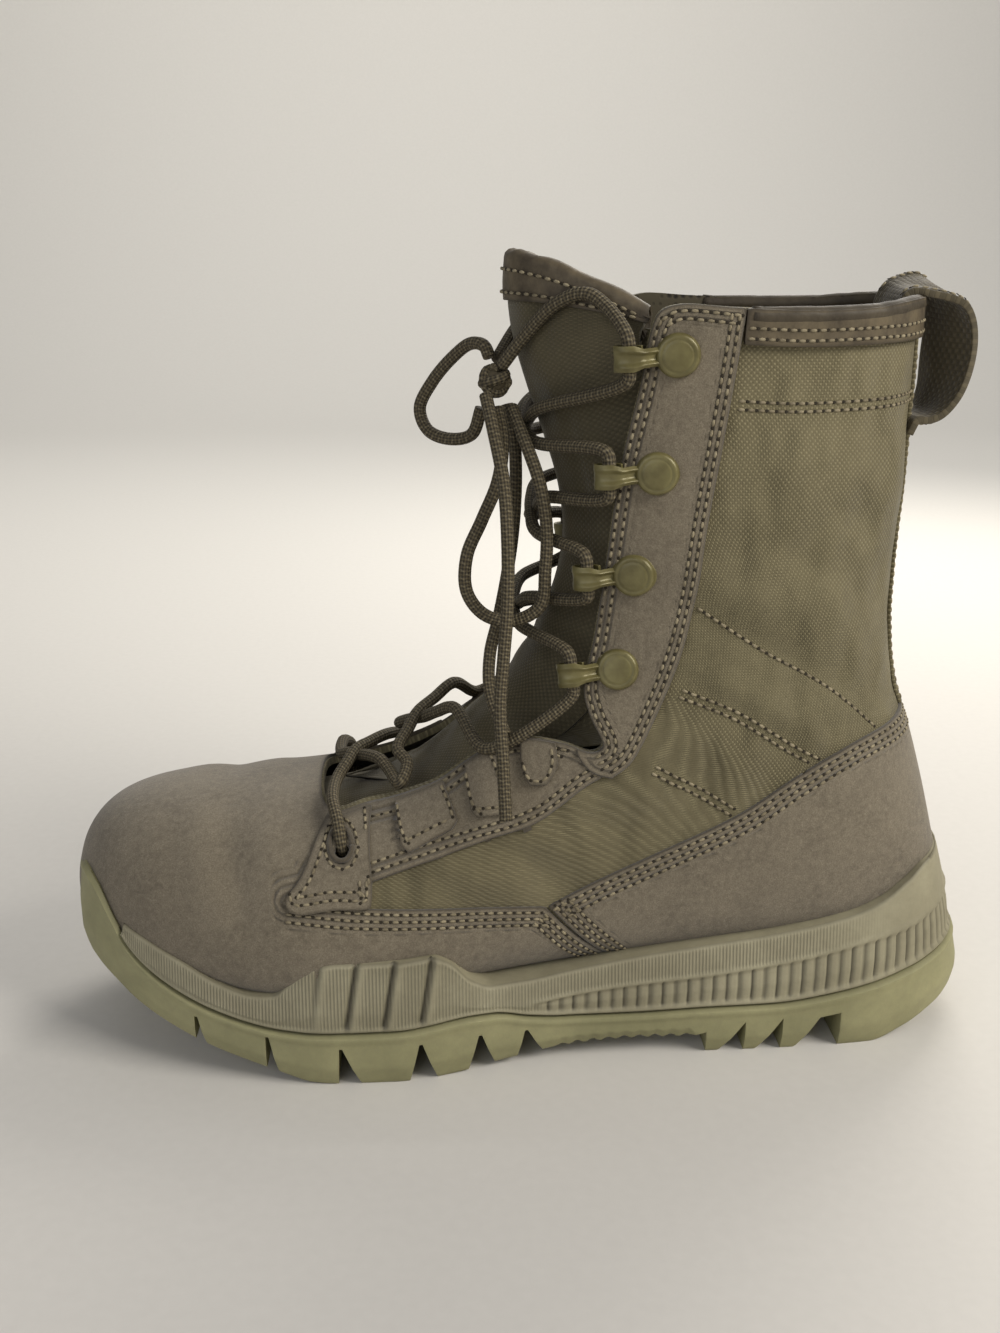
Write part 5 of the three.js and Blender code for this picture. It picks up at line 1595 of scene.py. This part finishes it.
# %% A cap and a strip for every hook
for number, row in enumerate(HOOKS, 1):
    for side, side_name in SIDE_NAMES.items():
        place = hook_frame(row, side)
        cap = turned(CAP_PROFILE)
        spots = np.array([vertex.co[:] for vertex in cap.verts])
        lay(cap, in_hook(place, spots[:, 0], spots[:, 2], spots[:, 1]))
        piece(f"hook_cap_{side_name}_{number}", cap, painted_steel)
        made, across, along = new_grid(16, 63)
        at = np.rint(along * 63).astype(int)
        w = 2 * across - 1
        ribs = (1.1 * pulse(np.abs(w) - 0.62, 0.24) - 0.3) * step_up(0.6 - along, 0.04)
        raised = ribs + 0.3 * np.abs(w) ** 3 * pulse(along - 0.5, 0.2)
        ahead_mm = HOOK_PATH[at, 0] - HOOK_RUN[at, 1] * raised
        out_mm = HOOK_PATH[at, 1] + HOOK_RUN[at, 0] * raised
        lay(made, in_hook(place, ahead_mm, out_mm, w * np.interp(along, STRIP_SHARE, STRIP_HALF)))
        piece(f"hook_strip_{side_name}_{number}", made, painted_steel,
              [f"lace_hook_{side_name}_{number}"], wall=0.9, edge=0.25)

# %% [markdown]
# ## The lacing
# Two strands start at the punched eyelets, cross over the tongue five times and pass under the
# leather keepers and up through the hooks, and come together at the knot. One list of places is
# gathered for each strand, so the lace really runs through every hook.

# %% A pressed rim round each eyelet
turn = np.linspace(0, 2 * math.pi, 25)
spots = EYELET + 3.5 * np.column_stack([np.cos(turn), np.sin(turn)])
for side, side_name in SIDE_NAMES.items():
    made = tube(on_last(*seat(spots, side), 2.9), 1.7, 0.8)[0]
    piece(f"eyelet_rim_{side_name}", made, suede_leather)

# %% Both strands, from eyelet to knot
CROSSINGS = [
    # lowX, lowZ, highX, highZ, meetX, meetZ, edgeY
    (-169, 88, -153, 95, -162, 93.5, 13), (-149, 98, -128, 114, -141, 106.5, 15),
    (-106, 139, -102, 154, -109.5, 145, 23), (-102, 168, -98, 186, -104, 176, 24),
    (-99, 196, -97, 213, -107.2, 203.5, 24),
]


# %% Crossings, keepers and hooks on the way
def crossing(number, start_side):
    """Places of a strand that climbs from low on start_side to high on the other side."""
    low, high, meet = [np.array(CROSSINGS[number][k:k + 2]) for k in (0, 2, 4)]
    over = np.array([-0.9, 0.9]) * (1 if start_side == LATERAL else -1)
    places = []
    for t in (0.06, 0.28, 0.5, 0.72, 0.94) if number < 2 else (0.2, 0.4, 0.6, 0.8):
        pull = math.sin(math.pi * t) ** 0.8
        x, z = low + (high - low) * t + (meet - (low + high) / 2) * pull + over * pulse(t - 0.5, 0.2)
        places.append((x, start_side * CROSSINGS[number][6] * (1 - 2 * t), z))
    return places


def over_leather(x, z, side, lift):
    return tuple(on_last(*seat(np.array([[x, z]]), side), lift)[0])


def through_hook(number, side):
    place = hook_frame(HOOKS[number], side)
    return [tuple(in_hook(place, [TUNNEL[0] - a], [TUNNEL[1] - o], [u])[0])
            for a, o, u in ((-0.6, 0.8, -6.5), (0, 0.1, -2.6), (0, 0.1, 2.6), (-0.6, 0.8, 6.5))]


def strand(start):
    """start is the side of the eyelet where this strand begins."""
    other = -start
    places = [over_leather(*EYELET, start, -4), over_leather(*EYELET, start, 1.0),
              over_leather(EYELET[0] - 0.6, EYELET[1] + 3.6, start, 5.2),
              over_leather(-168, 82.4, start, 5.4)]
    places += crossing(0, start)
    places += [over_leather(-150.0, 90.4, other, 3.4), over_leather(-146.5, 89.2, other, 3.2),
               over_leather(-143.5, 93.2, other, 3.8)]
    places += crossing(1, other)
    places += [over_leather(-119.6, 103.6, start, 3.6), over_leather(-112.4, 106.6, start, 4.0)]
    for number, side in enumerate((start, other, start)):
        places += through_hook(number, side) + crossing(number + 2, side)
    return places + through_hook(3, other)


# %% The two runs
END_NEAR = [(-86, -31, 240), (-91, -27.5, 243), (-99, -22, 240), (-108, -14, 230), (-114.5, -9.5, 221)]
END_FAR = [(-92, 30, 239), (-99, 24, 239), (-108, 12, 232), (-115.5, -2, 222.5)]
for name, start, tail, crossings in (
    ("lace_run_inner", MEDIAL, END_NEAR, (1, 2, 3)), ("lace_run_outer", LATERAL, END_FAR, (4, 5)),
):
    made, line, length = tube(strand(start) + tail, LACE, 1.1)
    piece(name, made, lace_braid, [f"lace_crossing_{k}" for k in crossings])
    print(f"{name}: {length:.0f} mm of lace")

# %% [markdown]
# ## Pull loop
# A doubled strap is caught under the collar and the backstay and stands off the heel. It is one
# sheet bent along its path, thickened, with a row of stitches down each edge.

# %% The loop
LOOP_PATH = [
    (12.0, 200.0), (14.4, 204.4), (17.2, 204.2), (21.4, 205.6), (26.2, 211), (29.4, 219),
    (30.6, 227.6), (29.4, 235), (26, 241), (20.6, 243.8), (14.4, 244.2), (9.4, 243.4),
    (6.6, 239.6), (5.6, 233),
]
LOOP_STEPS = 80
loop_line = evenly(smooth_line(LOOP_PATH, 0.6), LOOP_STEPS + 1)
loop_run = unit(np.gradient(loop_line, axis=0))


def twisted(points, share):
    """The loop has been pulled on, so its middle is turned and its top leans to the outside."""
    turn, lean = 0.34 * pulse(share - 0.44, 0.24), 0.24 * pulse(share - 0.72, 0.12)
    y = points[:, 1]
    return points + np.column_stack([-y * turn - 4.6 * pulse(share - 0.45, 0.24), 0 * share, y * lean])


def on_loop(marks, y, stand):
    """Spots at some steps along the loop, y beside its middle and standing off it; also its run."""
    steps = np.arange(LOOP_STEPS + 1)
    x, z, dx, dz = [
        np.interp(marks, steps, column) for column in (*loop_line.T, *loop_run.T)]
    return twisted(np.column_stack([x + dz * stand, y, z - dx * stand]), marks / LOOP_STEPS), dx, dz


made, across, along = new_grid(14, LOOP_STEPS)
w = 2 * across - 1
width = 12.4 - 0.9 * pulse(along - 0.55, 0.25)
points = on_loop(np.rint(along * LOOP_STEPS), w * width, 0.85 + 0.35 * w**2)[0]
lay(made, points, np.column_stack([w * 12, along * 72]), rim=(1 - np.abs(w)) * 12)
piece("pull_loop_strap", made, strap_webbing, ["pull_loop"], wall=2.2, edge=0.5)
marks = np.arange(4, 70, STITCH_PITCH / 1.05)
spots, runs, outs = [], [], []
for edge_y in (-10.2, 10.2):
    places, dx, dz = on_loop(marks, np.full(len(marks), edge_y), 1.3)
    spots.append(places)
    runs.append(np.column_stack([dx, 0 * dx, dz]))
    outs.append(np.column_stack([dz, 0 * dx, -dx]))
sew("stitch_pull_loop", spots, runs, outs, "webbing")

# %% [markdown]
# ## The studio
# One pale sheet makes floor and background, so nothing competes with the boot. A soft panel high
# on the heel side models the leather and leaves the throat in shade, a second fills from the toe
# side, a third draws the far edges, and the fourth lights only the background.

# %% Floor and light
made, across, along = new_grid(60, 60)
FLOOR_WIDTH, FLOOR_DEPTH, BEND_START, BEND = 5200.0, 4200.0, 1500.0, 900.0
depth = along * FLOOR_DEPTH - 1200
turn = np.clip((depth - BEND_START) / BEND, 0, math.pi / 2)
past = np.maximum(depth - BEND_START - BEND * math.pi / 2, 0)
floor_points = np.column_stack([
    (across - 0.5) * FLOOR_WIDTH - 115,
    np.where(depth > BEND_START, BEND_START + BEND * np.sin(turn), depth),
    BEND * (1 - np.cos(turn)) + past,
])
floor_mesh = mesh_of("studio_floor", lay(made, floor_points))
floor_mesh.shade_smooth()


def floor_finish(add):
    """Seamless paper: pale grey with the faintest tooth."""
    place = add("TexCoord", out="Object")
    tooth = add("TexNoise", {"Vector": place, "Scale": PER_MM / 4, "Detail": 3.0})
    return {"Base Color": tinted(add, "cfccc6", "d5d2cc", tooth, 0.0, 1.0)}


floor_mesh.materials.append(new_material("paper_seamless_pale", floor_finish, Roughness=0.9))
placed("studio_floor", floor_mesh)
# %% Soft panels of light
PANELS = [
    # name, place, aim, width, height, watts, tint
    ("key", (760, -560, 860), (-90, 0, 100), 620, 520, 13.0, "fffaf2"),
    ("fill", (-700, -900, 520), (-110, 0, 90), 1000, 800, 3.4, "f4f6ff"),
    ("rim", (300, 720, 700), (-60, 0, 140), 500, 700, 6.0, "fffaf2"),
    ("backdrop", (-115, 700, 1500), (-115, 2500, 400), 1600, 500, 26.0, "fffdf8"),
]
for name, place, aim, width, height, watts, tint in PANELS:
    data = bpy.data.lights.new(name, "AREA")
    data.shape = "RECTANGLE"
    data.size, data.size_y = width * MM, height * MM
    data.energy = watts
    data.color = linear(tint)[:3]
    lamp = placed(name, data)
    lamp.location = Vector(place) * MM
    lamp.rotation_euler = (Vector(aim) - Vector(place)).to_track_quat("-Z", "Y").to_euler()
world = bpy.data.worlds.new("studio_air")
bpy.context.scene.world = world
world.use_nodes = True
air = world.node_tree.nodes["Background"].inputs
air["Color"].default_value = linear("dcdcde")
air["Strength"].default_value = 0.3
